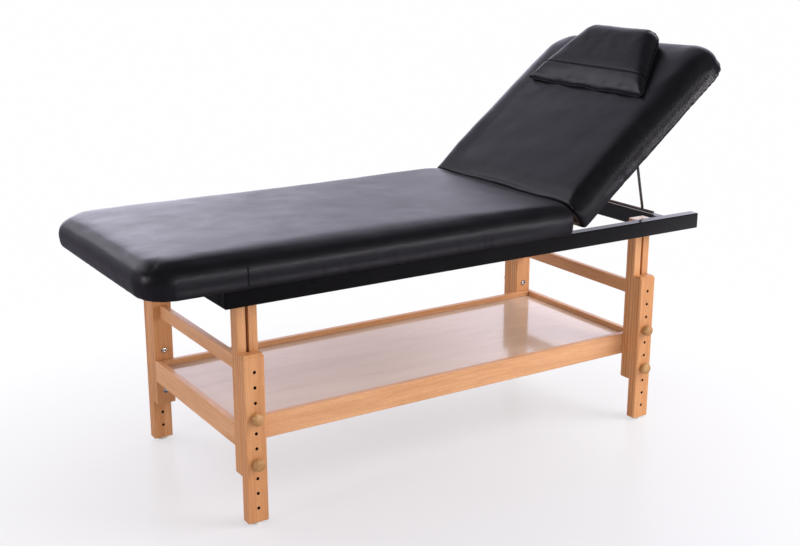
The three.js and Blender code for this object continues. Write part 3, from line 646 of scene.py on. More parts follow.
def padGrid(pad):
    s = padShape
    half = s["half"] - s["edgeInset"] - s["swell"]
    length = pad["reach"] - s["edgeInset"] - s["swell"]
    farRadius, nearRadius = s["farRadius"] - s["edgeInset"], s["hingeRadius"]
    cornerU, cornerY, nearY = length - farRadius, half - farRadius, half - nearRadius

    def heightAt(u, y, flatU, flatY):
        inward = min(length - flatU, half - abs(flatY))
        if flatU > cornerU and abs(flatY) > cornerY:
            inward = farRadius - math.hypot(u - cornerU, abs(y) - cornerY)
        height = rollHeight(s["edgeInset"] + inward, pad["rollReach"])
        if flatU < s["seamRound"]:
            back = s["seamRound"] - flatU
            sunk = s["seamRound"] - math.sqrt(s["seamRound"] ** 2 - back * back)
            height -= rise(height, s["edgeHeight"], s["edgeFade"]) * sunk
        return height

    def outward(u, y):
        if u > cornerU and abs(y) > cornerY:
            return Vector((u - cornerU, math.copysign(abs(y) - cornerY, y), 0)).normalized()
        if u > length - tiny:
            return Vector((1, 0, 0))
        if u < nearRadius and abs(y) > nearY - tiny:
            return Vector((0, math.copysign(min(1, (abs(y) - nearY) / nearRadius), y), 0))
        return Vector((0, 0 if u < tiny else math.copysign(1, y), 0))

    uLines = gridLines(length)
    yLines = [y - half for y in gridLines(2 * half)]
    points = []
    for flatU in uLines:
        for flatY in yLines:
            u, y = roundCorner(flatU, flatY, cornerU, cornerY, 1)
            u, y = roundCorner(u, y, nearRadius, nearY, -1)
            points.append([u, y, s["base"] + heightAt(u, y, flatU, flatY)])
    faces = list(gridFaces(len(uLines), len(yLines)))
    border = gridBorder(len(uLines), len(yLines))
    normals = [outward(*points[index][:2]) for index in border]
    loops = []
    for level in s["levels"]:
        loop = []
        for index, normal in zip(border, normals):
            tuck = between(pad["endTuck"], pad["tuck"], normal.y**2) if level < s["tuckTop"] else 1
            out = s["edgeInset"] - smoothTable(sideProfile, level) * tuck
            u, y, _ = points[index]
            loop.append(len(points))
            points.append([u + normal.x * out, y + normal.y * out, s["base"] + level])
        loops.append(loop)
    loops.append(border)
    for low, high in zip(loops, loops[1:]):
        for k in range(len(border)):
            m = (k + 1) % len(border)
            faces.append((low[k], low[m], high[m], high[k]))
    held = set(loops[0])
    for k, index in enumerate(border):
        if points[index][0] < tiny:
            held.update(loop[k] for loop in loops)
    for point in points:
        if point[0] < s["faceReach"]:
            point[0] += (1 - max(0, point[0]) / s["faceReach"]) ** 2 * hingeFace(point[2])
    return points, faces, held


inflation = {
    "frames": 20,
    "cap": 0.006,
    "calm": 0.85,
    "rounds": 14,
    "hinge": (0.012, 0.05, 0.02),  # the cap eases off here: from, over, least
    "hem": (0, 0.02, 0.15),
}
cornerEase = {"across": 0.02, "from": 0.04, "over": 0.012, "factor": 0.5, "rounds": 10}
clothSettings = {
    "quality": 6,
    "mass": 0.35,
    "tension_stiffness": 12.0,
    "compression_stiffness": 12.0,
    "shear_stiffness": 6.0,
    "bending_stiffness": 1.6,
    "shrink_min": -0.010,
    "air_damping": 4,
    "use_pressure": True,
    "uniform_pressure_force": 4.0,
    "vertex_group_mass": "held",
}


def evenOut(mesh, shift, rounds):  # spreads the move of each point over its neighbours
    ends = np.empty(len(mesh.edges) * 2, dtype=np.int64)
    mesh.edges.foreach_get("vertices", ends)
    first, second = ends[0::2], ends[1::2]
    count = np.ones(len(shift))
    np.add.at(count, first, 1)
    np.add.at(count, second, 1)
    for _ in range(rounds):
        total = shift.copy()
        np.add.at(total, first, shift[second])
        np.add.at(total, second, shift[first])
        shift = total / count[:, None]
    return shift


def inflate(made, held, cap):
    def placesOf(mesh):
        places = np.empty(len(mesh.vertices) * 3)
        mesh.vertices.foreach_get("co", places)
        return places.reshape(-1, 3)

    scene = bpy.context.scene
    start = placesOf(made.data)
    made.vertex_groups.new(name="held").add(sorted(held), 1.0, "REPLACE")
    cloth = made.modifiers.new("inflate", "CLOTH")
    for key, value in clothSettings.items():
        setattr(cloth.settings, key, value)
    cloth.settings.effector_weights.gravity = 0
    cloth.collision_settings.use_collision = False
    cloth.point_cache.frame_start = 1
    cloth.point_cache.frame_end = inflation["frames"]
    for number in range(1, inflation["frames"] + 1):
        scene.frame_set(number)
    blown = made.evaluated_get(bpy.context.evaluated_depsgraph_get())
    shift = placesOf(blown.to_mesh()) - start
    blown.to_mesh_clear()
    made.modifiers.remove(cloth)
    made.vertex_groups.clear()
    scene.frame_set(1)
    calm = inflation["calm"]
    shift = (1 - calm) * shift + calm * evenOut(made.data, shift, inflation["rounds"])
    size = np.linalg.norm(shift, axis=1)
    limit = cap(start)
    scale = np.where(size > 1e-9, limit * np.tanh(size / np.maximum(limit, 1e-9)) / np.maximum(size, 1e-9), 0)
    made.data.vertices.foreach_set("co", (start + shift * scale[:, None]).ravel())
    made.data.update()
    print(made.name, "simulated, largest move", round(float(size.max()) * 1000, 1), "mm")


foldShape = {
    "high": 0.040,
    "corner": {  # each fold is a draw of its place, width and depth
        "count": 15,
        "draws": ((0.02, 1.55), (0.028, 0.055), (0.5, 1.0)),
        "out": 0.0004,
        "deep": 0.0014,
        "most": 1.3,
    },
    "side": {
        "count": 34,
        "draws": ((0.08, 0.97), (0.004, 0.010), (0.3, 1)),
        "crowd": 0.7,
        "lean": 0.1,
        "deep": 0.0013,
        "most": 1.2,
    },
    "endDeep": 0.0010,
    "endFine": (24, 30),
    "topDeep": 0.0011,
    "topFrom": (0.070, 0.014),
    "topWaves": ((1, 7, 7, 3.1), (0.5, 17, 15, 0)),
    "seamFrom": (0.006, 0.020),
    "seamTo": (0.085, 0.055),
    "seamWaves": ((1, 5.2, 2.3), (0.45, 15, 5.1)),
}
pullShape = {
    "far": (0.22, 0.20),
    "side": (-0.05, 0.40),
    "height": (0.02, 0.06),
    "spread": 0.25,
    "push": 0.007,
}


def softFolds(points, pad):
    reach, seed = pad["reach"], pad["seed"]
    picker = random.Random(seed)
    s, corner, side = foldShape, foldShape["corner"], foldShape["side"]
    draw = lambda folds: [picker.uniform(*span) for span in folds["draws"]]
    cornerFolds = [draw(corner) for _ in range(corner["count"])]
    sideFolds = [draw(side) for _ in range(side["count"])]
    sideFolds = [(reach * at ** side["crowd"], wide, deep) for at, wide, deep in sideFolds]
    cornerU, cornerY = reach - padShape["farRadius"], padShape["half"] - padShape["farRadius"]
    gathers = pad.get("gathers")

    def depthAt(place, folds, most):
        return min(most, sum(deep * bell(place - at, wide) for at, wide, deep in folds))

    for point in points:
        u, y, n = point
        height = n - padShape["base"]
        low = max(0, 1 - height / s["high"])
        share = rise(n, *s["seamFrom"]) * fall(u, *s["seamTo"])
        if share > 0:  # the pads press on each other along a line that is not quite straight
            wave = sum(part * noiseAt(y * fine, start, 0.7) for part, fine, start in s["seamWaves"])
            point[0] += pad["seamWave"] * wave * ease(share)
        if gathers and y < 0 and height < gathers["high"]:
            share = rise(u, gathers["from"], gathers["over"]) * (1 - height / gathers["high"])
            phase = u / gathers["wave"] + gathers["drift"] * noiseAt(u * 9, height * 12, seed)
            point[1] += gathers["depth"] * (0.5 + 0.5 * math.sin(math.tau * phase)) * share
        share = rise(height, *s["topFrom"])
        if share > 0:
            wave = sum(part * noiseAt(u * a, y * b, start + seed) for part, a, b, start in s["topWaves"])
            point[2] += s["topDeep"] * wave * ease(share)
        if low <= 0:
            continue
        if u > cornerU and abs(y) > cornerY:
            out = Vector((u - cornerU, math.copysign(abs(y) - cornerY, y), 0)).normalized()
            angle = math.atan2(abs(y) - cornerY, u - cornerU)
            move = (corner["out"] - corner["deep"] * depthAt(angle, cornerFolds, corner["most"])) * low
            point[0] += out.x * move
            point[1] += out.y * move
        elif abs(y) > cornerY:
            depth = depthAt(u - side["lean"] * height, sideFolds, side["most"])
            point[1] -= math.copysign(side["deep"] * depth * low, y)
        elif u > cornerU:
            fineY, fineUp = s["endFine"]
            point[0] -= s["endDeep"] * abs(noiseAt(y * fineY, height * fineUp, seed + 9)) * low
    fill = pad.get("farFill")
    for point in points if fill else ():  # the far side is stuffed a little fuller
        u, y, n = point
        share = rise(u, *fill["start"]) * fall(u, reach - fill["stop"][0], fill["stop"][1])
        share *= ease(rise(y, *fill["side"])) * rise(n - padShape["base"], *fill["height"])
        point[1] += fill["out"] * share
        point[2] += fill["up"] * share
    pull = pullShape
    sign, along, drop = pad["pull"]
    for point in points:  # the end bows out, and one sewn corner pulls a little off square
        u, y, n = point
        far = rise(u, reach - pull["far"][0], pull["far"][1]) ** 2
        share = far * rise(sign * y, *pull["side"]) ** 2
        point[0] += pad["bow"] * far * max(0, 1 - (y / padShape["half"]) ** 2) + share * along
        point[1] += share * sign * abs(along) * pull["spread"]
        if along > 0 and u > cornerU and sign * y > cornerY:
            angle = math.atan2(sign * y - cornerY, u - cornerU)
            near = min(1, math.hypot(u - cornerU, sign * y - cornerY) / padShape["farRadius"])
            push = pull["push"] * math.sin(2 * angle) ** 2 * near**2
            point[0] += push * math.cos(angle)
            point[1] += push * math.sin(angle) * sign
        point[2] += share * drop * rise(n - padShape["base"], *pull["height"])
    return points


def closePocket(made, place, inverse, reachIn):  # the cover turns in under the board, then up round it
    s = padShape
    work = bmesh.new()
    work.from_mesh(made.data)
    rim = [e for e in work.edges if e.is_boundary]
    cornerU, cornerY = reachIn - s["pocketRadius"], s["pocketHalf"] - s["pocketRadius"]

    def inner(u, y):
        u = min(max(u, s["pocketFrom"]), reachIn)
        y = math.copysign(min(abs(y), s["pocketHalf"]), y)
        if u > cornerU and abs(y) > cornerY:
            out = Vector((u - cornerU, abs(y) - cornerY))
            if out.length > 1e-9:
                out = out.normalized() * s["pocketRadius"]
            return cornerU + out.x, math.copysign(cornerY + out.y, y)
        return u, y

    for lift in (0.0, s["pocketUp"]):
        grown = bmesh.ops.extrude_edge_only(work, edges=rim)["geom"]
        for vert in grown:
            if isinstance(vert, bmesh.types.BMVert):
                u, y, _ = inverse(vert.co)
                vert.co = place(*inner(u, y), s["base"] + lift)
        rim = [e for e in grown if isinstance(e, bmesh.types.BMEdge) and e.is_boundary]
    bmesh.ops.remove_doubles(work, verts=list({v for e in rim for v in e.verts}), dist=1e-5)
    bmesh.ops.edgeloop_fill(work, edges=[e for e in work.edges if e.is_boundary])
    bmesh.ops.recalc_face_normals(work, faces=work.faces)
    work.to_mesh(made.data)
    work.free()
    made.data.update()


def buildPad(name, pad, place, inverse, material):
    points, faces, held = padGrid(pad)
    made = makeObject(name, points, faces, material)

    def easeOff(distance, start, over, least):
        return np.clip((distance - start) / over, least, 1)

    def cap(start):
        near = easeOff(start[:, 0], *inflation["hinge"])
        return inflation["cap"] * near * easeOff(start[:, 2] - padShape["base"], *inflation["hem"])

    inflate(made, held, cap)
    e = cornerEase
    corner = made.vertex_groups.new(name="corner")
    cornerU, cornerY = pad["reach"] - padShape["farRadius"], padShape["half"] - padShape["farRadius"]
    for vertex in made.data.vertices:
        u, y, n = vertex.co
        above = (n - padShape["base"] - e["from"]) / e["over"]
        inside = min((u - cornerU) / e["across"], (abs(y) - cornerY) / e["across"], above)
        if inside > 0:
            corner.add([vertex.index], min(1, inside), "REPLACE")
    evener = made.modifiers.new("even", "SMOOTH")
    evener.factor = e["factor"]
    evener.iterations = e["rounds"]
    evener.vertex_group = "corner"
    refine(made)
    made.vertex_groups.clear()
    soft = softFolds([list(v.co) for v in made.data.vertices], pad)
    for vertex, point in zip(made.data.vertices, soft):
        vertex.co = place(*point)
    made.data.update()
    closePocket(made, place, inverse, pad["pocketReach"])
    made.data.shade_smooth()
    return made


for name, pad, place, inverse, look, node, body in (
    ("main_pad_cover", mainPad, fromMain, toMain, "leather", "main_cushion", "frame"),
    ("back_pad_cover", backPad, fromBack, toBack, "leatherBack", "back_cushion", "backrest"),
):
    cover = buildPad(name, pad, place, inverse, looks[look])
    finishPiece(cover, body, "pad_cover", node)
print("pads made")


# geometry node trees
def newTree(name, sizes):
    tree = bpy.data.node_groups.new(name, "GeometryNodeTree")
    sockets = {"Geometry": ("Geometry", None), **sizes, "Material": ("Material", None)}
    for label, (kind, value) in sockets.items():
        socket = tree.interface.new_socket(label, in_out="INPUT", socket_type="NodeSocket" + kind)
        if value is not None:
            socket.default_value = value
    tree.interface.new_socket("Geometry", in_out="OUTPUT", socket_type="NodeSocketGeometry")
    graph = Graph(tree)
    start, end = tree.nodes.new("NodeGroupInput"), tree.nodes.new("NodeGroupOutput")
    given = lambda label: Signal(graph, start.outputs[label])

    def finish(source):  # every tree ends the same way
        real = graph.add("GeometryNodeRealizeInstances", 0, {"Geometry": source})
        painted = {"Geometry": real, "Material": given("Material")}
        graph.feed(end, {"Geometry": graph.add("GeometryNodeSetMaterial", 0, painted)})
        return tree

    return graph, given, finish


def makeSweepTree():
    graph, given, finish = newTree("sweepRod", {"Radius": ("Float", 0.004), "Sides": ("Int", 16)})
    ring = {"Radius": given("Radius"), "Resolution": given("Sides")}
    ring = graph.add("GeometryNodeCurvePrimitiveCircle", "Curve", ring)
    sweep = {"Curve": given("Geometry"), "Profile Curve": ring, "Fill Caps": True}
    sweep = graph.add("GeometryNodeCurveToMesh", "Mesh", sweep)
    return finish(graph.add("GeometryNodeSetShadeSmooth", 0, {"Geometry": sweep}))


def makePlantTree():  # one copy of a template at each point, its Z along "facing" and its X along "heading"
    sizes = {"Template": ("Object", None), "Size": ("Float", 1.0)}
    sizes.update({"Wobble": ("Float", 0.0), "Seed": ("Int", 3)})
    graph, given, finish = newTree("plantPieces", sizes)
    align = "FunctionNodeAlignRotationToVector"
    stored = lambda label: graph.add(
        "GeometryNodeInputNamedAttribute", "Attribute", {"Name": label}, data_type="FLOAT_VECTOR"
    )
    aim = graph.add(align, 0, {"Vector": stored("facing")}, axis="Z")
    aim = graph.add(align, 0, {"Rotation": aim, "Vector": stored("heading")}, axis="X", pivot_axis="Z")
    piece = graph.add("GeometryNodeObjectInfo", "Geometry", {"Object": given("Template")})
    plant = {"Points": given("Geometry"), "Instance": piece, "Rotation": aim, "Scale": given("Size")}
    plant = graph.add("GeometryNodeInstanceOnPoints", "Instances", plant)
    wobble = {2: given("Wobble") * -1, 3: given("Wobble"), "Seed": given("Seed")}
    twist = graph.add("ShaderNodeCombineXYZ", 0, {"Z": graph.add("FunctionNodeRandomValue", 1, wobble)})
    return finish(graph.add("GeometryNodeRotateInstances", 0, {"Instances": plant, "Rotation": twist}))


sweepTree = makeSweepTree()
plantTree = makePlantTree()


def addTree(made, tree, **values):
    step = made.modifiers.new("build", "NODES")
    step.node_group = tree
    for item in tree.interface.items_tree:
        if item.item_type == "SOCKET" and item.in_out == "INPUT" and item.name in values:
            step[item.identifier] = values[item.name]


def sweepAlong(name, path, radius, sides, material, closed=False):
    curve = bpy.data.curves.new(name, "CURVE")
    curve.dimensions = "3D"
    spline = curve.splines.new("POLY")
    spline.points.add(len(path) - 1)
    for point, place in zip(spline.points, path):
        point.co = (*place, 1)
    spline.use_cyclic_u = closed
    source = bpy.data.objects.new(name + "_path", curve)
    bpy.context.scene.collection.objects.link(source)
    addTree(source, sweepTree, Radius=radius, Sides=sides, Material=material)
    mesh = bakedMesh(source)
    mesh.name = name
    bpy.data.objects.remove(source)
    made = bpy.data.objects.new(name, mesh)
    bpy.context.scene.collection.objects.link(made)
    if not mesh.materials:
        mesh.materials.append(material)
    faceOutwards(made)
    return made


def plantAt(name, spots, template, material, wobble, seed):  # each spot is (place, facing, heading)
    made = makeObject(name, [spot[0] for spot in spots], [], None, smooth=False)
    for label, column in (("facing", 1), ("heading", 2)):
        attribute = made.data.attributes.new(label, "FLOAT_VECTOR", "POINT")
        attribute.data.foreach_set("vector", [c for spot in spots for c in spot[column]])
    addTree(made, plantTree, Template=template, Wobble=wobble, Seed=seed, Material=material)
    bakeModifiers(made)
    return made


# templates
def latheMesh(name, profile, sides, material, along, at, crisp=None):
    # profile of (radius, distance along) that starts and ends on the axis
    across = Vector((0, 0, 1)) if abs(along.z) < 0.9 else Vector((1, 0, 0))
    side = along.cross(across).normalized()
    up = side.cross(along)
    points, faces = [at + along * profile[0][1]], []
    for radius, far in profile[1:-1]:
        for k in range(sides):
            angle = 2 * math.pi * k / sides
            points.append(at + along * far + (side * math.cos(angle) + up * math.sin(angle)) * radius)
    points.append(at + along * profile[-1][1])
    last = 1 + (len(profile) - 3) * sides
    for k in range(sides):
        m = (k + 1) % sides
        faces.append((0, 1 + m, 1 + k))
        for a in range(1, last, sides):
            faces.append((a + k, a + m, a + sides + m, a + sides + k))
        faces.append((len(points) - 1, last + k, last + m))
    made = makeObject(name, points, faces, material)
    faceOutwards(made)
    made.data.shade_smooth()
    if crisp:
        made.data.set_sharp_from_angle(angle=math.radians(crisp))
    return made


screwShape = {
    "radius": 0.0038,
    "height": 0.0022,
    "sides": 14,
    "rings": ((1, 0), (1, 0.35), (0.86, 0.75), (0.55, 1)),
    "arm": 0.11,
    "reach": 0.46,
    "depth": 0.55,
}


def screwTemplate():
    s = screwShape
    work = bmesh.new()

    def ring(places, z):
        return [work.verts.new((x, y, z)) for x, y in places]

    def bridge(low, high):
        for k in range(len(low)):
            m = (k + 1) % len(low)
            work.faces.new((low[k], low[m], high[m], high[k]))

    angles = [2 * math.pi * k / s["sides"] for k in range(s["sides"])]
    circle = lambda radius: [(radius * math.cos(a), radius * math.sin(a)) for a in angles]
    loops = [ring(circle(s["radius"] * wide), s["height"] * high) for wide, high in s["rings"]]
    for low, high in zip(loops, loops[1:]):
        bridge(low, high)
    work.faces.new(list(reversed(loops[0])))
    arm, reach = s["radius"] * s["arm"], s["radius"] * s["reach"]
    cross = [(reach, -arm), (reach, arm), (arm, arm)]
    while len(cross) < 12:
        cross += [(-y, x) for x, y in cross[-3:]]
    top = ring(cross, s["height"])
    floor = ring([(x * 0.7, y * 0.7) for x, y in cross], s["height"] * (1 - s["depth"]))
    bridge(top, floor)
    work.faces.new(floor)
    pairs = [(group[k - 1], group[k]) for group in (loops[-1], top) for k in range(len(group))]
    bmesh.ops.triangle_fill(work, edges=[work.edges.get(pair) for pair in pairs], use_beauty=True)
    bmesh.ops.recalc_face_normals(work, faces=work.faces)
    mesh = bpy.data.meshes.new("screwTemplate")
    work.to_mesh(mesh)
    work.free()
    return bpy.data.objects.new("screwTemplate", mesh)


stapleShape = {"length": 0.0105, "thick": 0.0009, "high": 0.0005, "sides": 6}


def stapleTemplate():  # bent down at both ends
    s = stapleShape
    half, shoulder = s["length"] / 2, s["length"] * 0.36
    rows = [(half, -s["thick"]), (half, s["high"] * 0.6), (shoulder, s["high"])]
    rows = [(-x, z) for x, z in rows] + rows[::-1]
    sides = s["sides"]
    points, faces = [], []
    for x, z in rows:
        for k in range(sides):
            angle = math.pi * 2 * k / sides
            points.append((x, s["thick"] / 2 * math.cos(angle), z + s["thick"] / 2 * math.sin(angle)))
    for a in range(0, (len(rows) - 1) * sides, sides):
        for k in range(sides):
            m = (k + 1) % sides
            faces.append((a + k, a + sides + k, a + sides + m, a + m))
    faces.append(tuple(range(sides)))
    faces.append(tuple(range(len(points) - 1, len(points) - 1 - sides, -1)))
    made = makeObject("stapleTemplate", points, faces, shown=False)
    faceOutwards(made)
    return made


# pillow
pillowShape = {
    "low": 0.422,
    "high": 0.660,
    "lowHalf": 0.260,
    "highHalf": 0.143,
    "lowRadius": 0.012,
    "highRadius": 0.038,
    "crease": creaseAt,
    "lowThick": 0.017,
    "creaseThick": 0.034,
    "highThick": 0.060,
    "base": 0.0313,
    "seam": 0.44,
    "crown": 0.0025,
    "crownReach": 0.05,
    "cap": 0.005,
    "wave": 0.0032,
    "lipReach": 0.020,
    "topFrom": 0.62,
    "sideFrom": 0.2,
    "creases": ((0.0016, 0.0032, 0.012), (0.0012, 0.020, 0.02)),  # depth, width, fade at the seam
    "dents": ((0.0009, 16, 14, 5.0), (0.0005, 40, 30, 2.0)),
    "puckers": (0.0011, 0.016, 0.003, 95, 7.0),
    "edgeSteps": (0, 0.0025, 0.006, 0.0105, 0.016, 0.0225),
    "creaseSteps": (-0.008, -0.0045, -0.0025, -0.001, 0.001, 0.0025, 0.0045, 0.008),
    "creaseRoom": 0.003,
    "step": 0.007,
    "columns": 46,
    "weltRadius": 0.0017,
    "weltOut": 0.0008,
    "weltCentre": 0.54,
}


def pillowHalf(u):
    s = pillowShape
    return between(s["lowHalf"], s["highHalf"], (u - s["low"]) / (s["high"] - s["low"]))


def pillowThick(u):
    s = pillowShape
    if u < s["crease"]:
        return between(s["lowThick"], s["creaseThick"], (u - s["low"]) / (s["crease"] - s["low"]))
    return between(s["creaseThick"], s["highThick"], (u - s["crease"]) / (s["high"] - s["crease"]))


def puffed(share):
    return math.sqrt(1 - (1 - clip(share)) ** 2)


def pillowGrid():  # flat places with their distance from the seam
    s = pillowShape
    edge = s["edgeSteps"]
    span = s["high"] - s["low"] - 2 * edge[-1]
    count = round(span / s["step"])
    uLines = [s["low"] + e for e in edge]
    uLines += [uLines[-1] + span * k / count for k in range(1, count)]
    uLines += [s["high"] - e for e in reversed(edge)]
    fold = [s["crease"] + e for e in s["creaseSteps"]]
    free = lambda u: not fold[0] - s["creaseRoom"] < u < fold[-1] + s["creaseRoom"]
    middle = s["columns"]
    rows = []
    for flatU in sorted([u for u in uLines if free(u)] + fold):
        half = pillowHalf(flatU)
        inner = half - edge[-1]
        yLines = [-half + e for e in edge] + [inner * (2 * k / middle - 1) for k in range(1, middle)]
        yLines += [half - e for e in reversed(edge)]
        cornerU, cornerY = s["high"] - s["highRadius"], half - s["highRadius"]
        row = []
        for y in yLines:
            u, y = roundCorner(flatU, y, cornerU, cornerY, 1)
            u, y = roundCorner(u, y, s["low"] + s["lowRadius"], half - s["lowRadius"], -1)
            inward = min(u - s["low"], s["high"] - u, pillowHalf(u) - abs(y))
            if u > cornerU and abs(y) > cornerY:
                inward = s["highRadius"] - math.hypot(u - cornerU, abs(y) - cornerY)
            row.append((u, y, max(0, inward)))
        rows.append(row)
    return rows


def settlePillow(u, y, n):  # the crease, the wavy front lip and the puckers by the seam
    s = pillowShape
    lift = 0.0
    share = (n - s["base"]) / max(tiny, pillowThick(u))
    inward = max(0, min(u - s["low"], s["high"] - u, pillowHalf(u) - abs(y)))
    if share > s["topFrom"]:
        for deep, wide, room in s["creases"]:
            lift -= deep * bell(u - s["crease"], wide) * min(1, inward / room)
        for deep, fineU, fineY, start in s["dents"]:
            lift += deep * noiseAt(u * fineU, y * fineY, start)
    if share > s["sideFrom"]:
        deep, wide, room, fine, start = s["puckers"]
        lift += deep * bell(inward, wide) * min(1, inward / room) * noiseAt(u * fine, y * fine, start)
    front = bell(u - s["low"], s["lipReach"]) * min(1, share * 3)
    wave = math.sin(y * 34 + 0.6) + 0.6 * math.sin(y * 71 + 1.9)
    lift += front * s["wave"] * (0.7 + 0.6 * wave)
    return fromBack(u + 0.0012 * front * math.sin(y * 52 + 2.2), y, n + lift)


def buildPillow():
    s = pillowShape
    grid = pillowGrid()
    rows, columns = len(grid), len(grid[0])
    flat = [place for row in grid for place in row]
    border = gridBorder(rows, columns)
    onBorder = set(border)
    points, faces = [], []
    for u, y, inward in flat:
        thick = pillowThick(u)
        seam = thick * s["seam"]
        up = puffed(inward / (0.45 * thick + 0.006)) * (thick - seam)
        crown = s["crown"] * (1 - math.exp(-inward / s["crownReach"]))
        points.append((u, y, s["base"] + seam + up + crown))
    under = {}
    for index, (u, y, inward) in enumerate(flat):
        if index in onBorder:
            under[index] = index
            continue
        seam = pillowThick(u) * s["seam"]
        under[index] = len(points)
        points.append((u, y, s["base"] + seam * (1 - puffed(inward / (seam * 0.7 + 0.002)))))
    for corners in gridFaces(rows, columns):
        faces.append(corners)
        faces.append(tuple(under[k] for k in reversed(corners)))
    made = makeObject("pillow_cover", points, faces, looks["leatherPillow"])
    faceOutwards(made)
    inflate(made, set(under.values()), lambda start: np.full(len(start), s["cap"]))
    refine(made)
    for vertex in made.data.vertices:
        vertex.co = settlePillow(*vertex.co)
    made.data.update()
    made.data.shade_smooth()
    path = []
    for index in border:
        u, y, n = points[index]
        out = Vector((u - s["weltCentre"], y * 0.6)).normalized() * s["weltOut"]
        path.append(settlePillow(u + out.x, y + out.y, n))
    return made, path


pillow, pillowSeam = buildPillow()
finishPiece(pillow, "pillow", "pillow_cover", "pillow")
welt = sweepAlong("pillow_welt", pillowSeam, pillowShape["weltRadius"], 8, looks["leatherBack"], closed=True)
finishPiece(welt, "pillow", "pillow_cover")
print("pillow made")


# turned pieces
def nodesLike(start):  # the nodes of one kind, each with its box and the side of the table that it is on
    for name in [n for n in nodes if n.startswith(start)]:
        low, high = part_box(name)
        yield name, low, high, (1 if low.y + high.y > 0 else -1)


knobShape = {
    "radius": 0.016,
    "neck": 0.011,
    "length": 0.018,
    "dome": 0.0014,
    "stud": 0.0038,
    "reach": 0.043,
    "thread": 0.0005,
    "turns": 26,
    "sides": 48,
    "studSides": 20,
}


def knobProfile():
    s = knobShape
    r, neck, length = s["radius"], s["neck"], s["length"]
    profile = [(0, 0.0), (neck - 0.001, 0.0), (neck, 0.0006), (neck + 0.0002, 0.002)]
    profile += [(r - 0.003, 0.0042), (r - 0.0012, 0.0052), (r - 0.0002, 0.0068), (r, 0.0085)]
    profile += [(r, length * 0.70), (r - 0.0004, length * 0.80), (r - 0.0014, length * 0.90)]
    profile += [(r - 0.0032, length * 0.975), (r - 0.0058, length + 0.0006), (r - 0.0095, length + 0.0011)]
    return profile + [(r * 0.2, length + 0.0013), (0, length + s["dome"])]


def studProfile():
    s = knobShape
    wide, narrow, reach = s["stud"], s["stud"] - s["thread"], s["reach"]
    profile = [(0, 0.0001), (wide, 0.0001)]
    for k in range(s["turns"]):
        far = 0.001 + (reach - 0.002) * k / s["turns"]
        profile += [(narrow, far), (wide, far + 0.0008)]
    return profile + [(narrow, reach - 0.0004), (0, reach)]


for name, low, high, side in nodesLike("knob_"):
    s = knobShape
    outer = max(abs(low.y), abs(high.y))
    face = Vector(((low.x + high.x) / 2, side * (outer - s["length"] - s["dome"]), (low.z + high.z) / 2))
    away = Vector((0, side, 0))
    knob = latheMesh(name + "_turned", knobProfile(), s["sides"], looks["knobs"], away, face, crisp=50)
    stud = latheMesh(name + "_stud", studProfile(), s["studSides"], looks["steel"], -away, face)
    finishPiece(knob, name, "knob_wood", name)
    finishPiece(stud, name, "knob_wood", name)

insertShape = {
    "radius": 0.009,
    "height": 0.0036,
    "shank": 0.0039,
    "length": 0.019,
    "socket": 0.0031,
    "sides": 40,
}


def insertProfile():
    s = insertShape
    r, h, hole, shank, length = s["radius"], s["height"], s["socket"], s["shank"], s["length"]
    profile = [(0, -length), (shank - 0.0006, -length), (shank, -length + 0.0006), (shank, 0)]
    profile += [(r - 0.0003, 0), (r, 0.0004), (r, h * 0.35), (r - 0.0006, h * 0.66), (r - 0.0018, h * 0.9)]
    profile += [(r - 0.0032, h), (hole + 0.0004, h), (hole, h - 0.0004)]
    return profile + [(hole, h - 0.0024), (0, h - 0.0028)]


for name, low, high, side in nodesLike("insert_"):
    s = insertShape
    inner = min(abs(low.y), abs(high.y))
    face = Vector(((low.x + high.x) / 2, side * (inner + s["height"]), (low.z + high.z) / 2))
    inwards = Vector((0, -side, 0))
    bolt = latheMesh(name + "_bolt", insertProfile(), s["sides"], looks["chrome"], inwards, face, crisp=45)
    finishPiece(bolt, "frame", "bolt_chrome", name)

glideShape = {"radius": 0.015, "height": 0.006, "sides": 48}


def glideProfile():
    r, h = glideShape["radius"], glideShape["height"]
    profile = [(0, 0), (r - 0.0024, 0), (r - 0.0012, 0.0004), (r - 0.0003, 0.0012), (r, 0.0022)]
    return profile + [(r, h - 0.0006), (r - 0.0005, h), (0, h)]


for name, low, high, _ in nodesLike("glide_"):
    centre = (low + high) / 2
    sole = Vector((centre.x, centre.y, low.z))
    up = Vector((0, 0, 1))
    foot = latheMesh(name + "_foot", glideProfile(), glideShape["sides"], looks["nylon"], up, sole, crisp=50)
    finishPiece(foot, name.replace("glide", "leg_extension"), "glide_plastic", name)
print("knobs, bolts and glides made")


# prop
propShape = {
    "half": 0.222,
    "length": 0.2540007,
    "bend": 0.010,
    "bendSteps": 8,
    "radius": 0.0041,
    "start": math.radians(102.4065),
    "axleHalf": 0.268,
    "axleRadius": 0.0043,
}
hub = Vector(joints["prop_swing"]["pos_m"])


def propPath():
    s = propShape
    path = []
    for far, side, first in ((0, -1, math.pi), (1, -1, -math.pi / 2), (1, 1, 0), (0, 1, math.pi / 2)):
        centreX = s["length"] - s["bend"] if far else s["bend"]
        centreY = side * (s["half"] - s["bend"])
        for step in range(s["bendSteps"] + 1):
            angle = first + math.pi / 2 * step / s["bendSteps"]
            along, across = centreX + s["bend"] * math.cos(angle), centreY + s["bend"] * math.sin(angle)
            path.append(hub + Vector((along * math.cos(s["start"]), across, along * math.sin(s["start"]))))
    return path


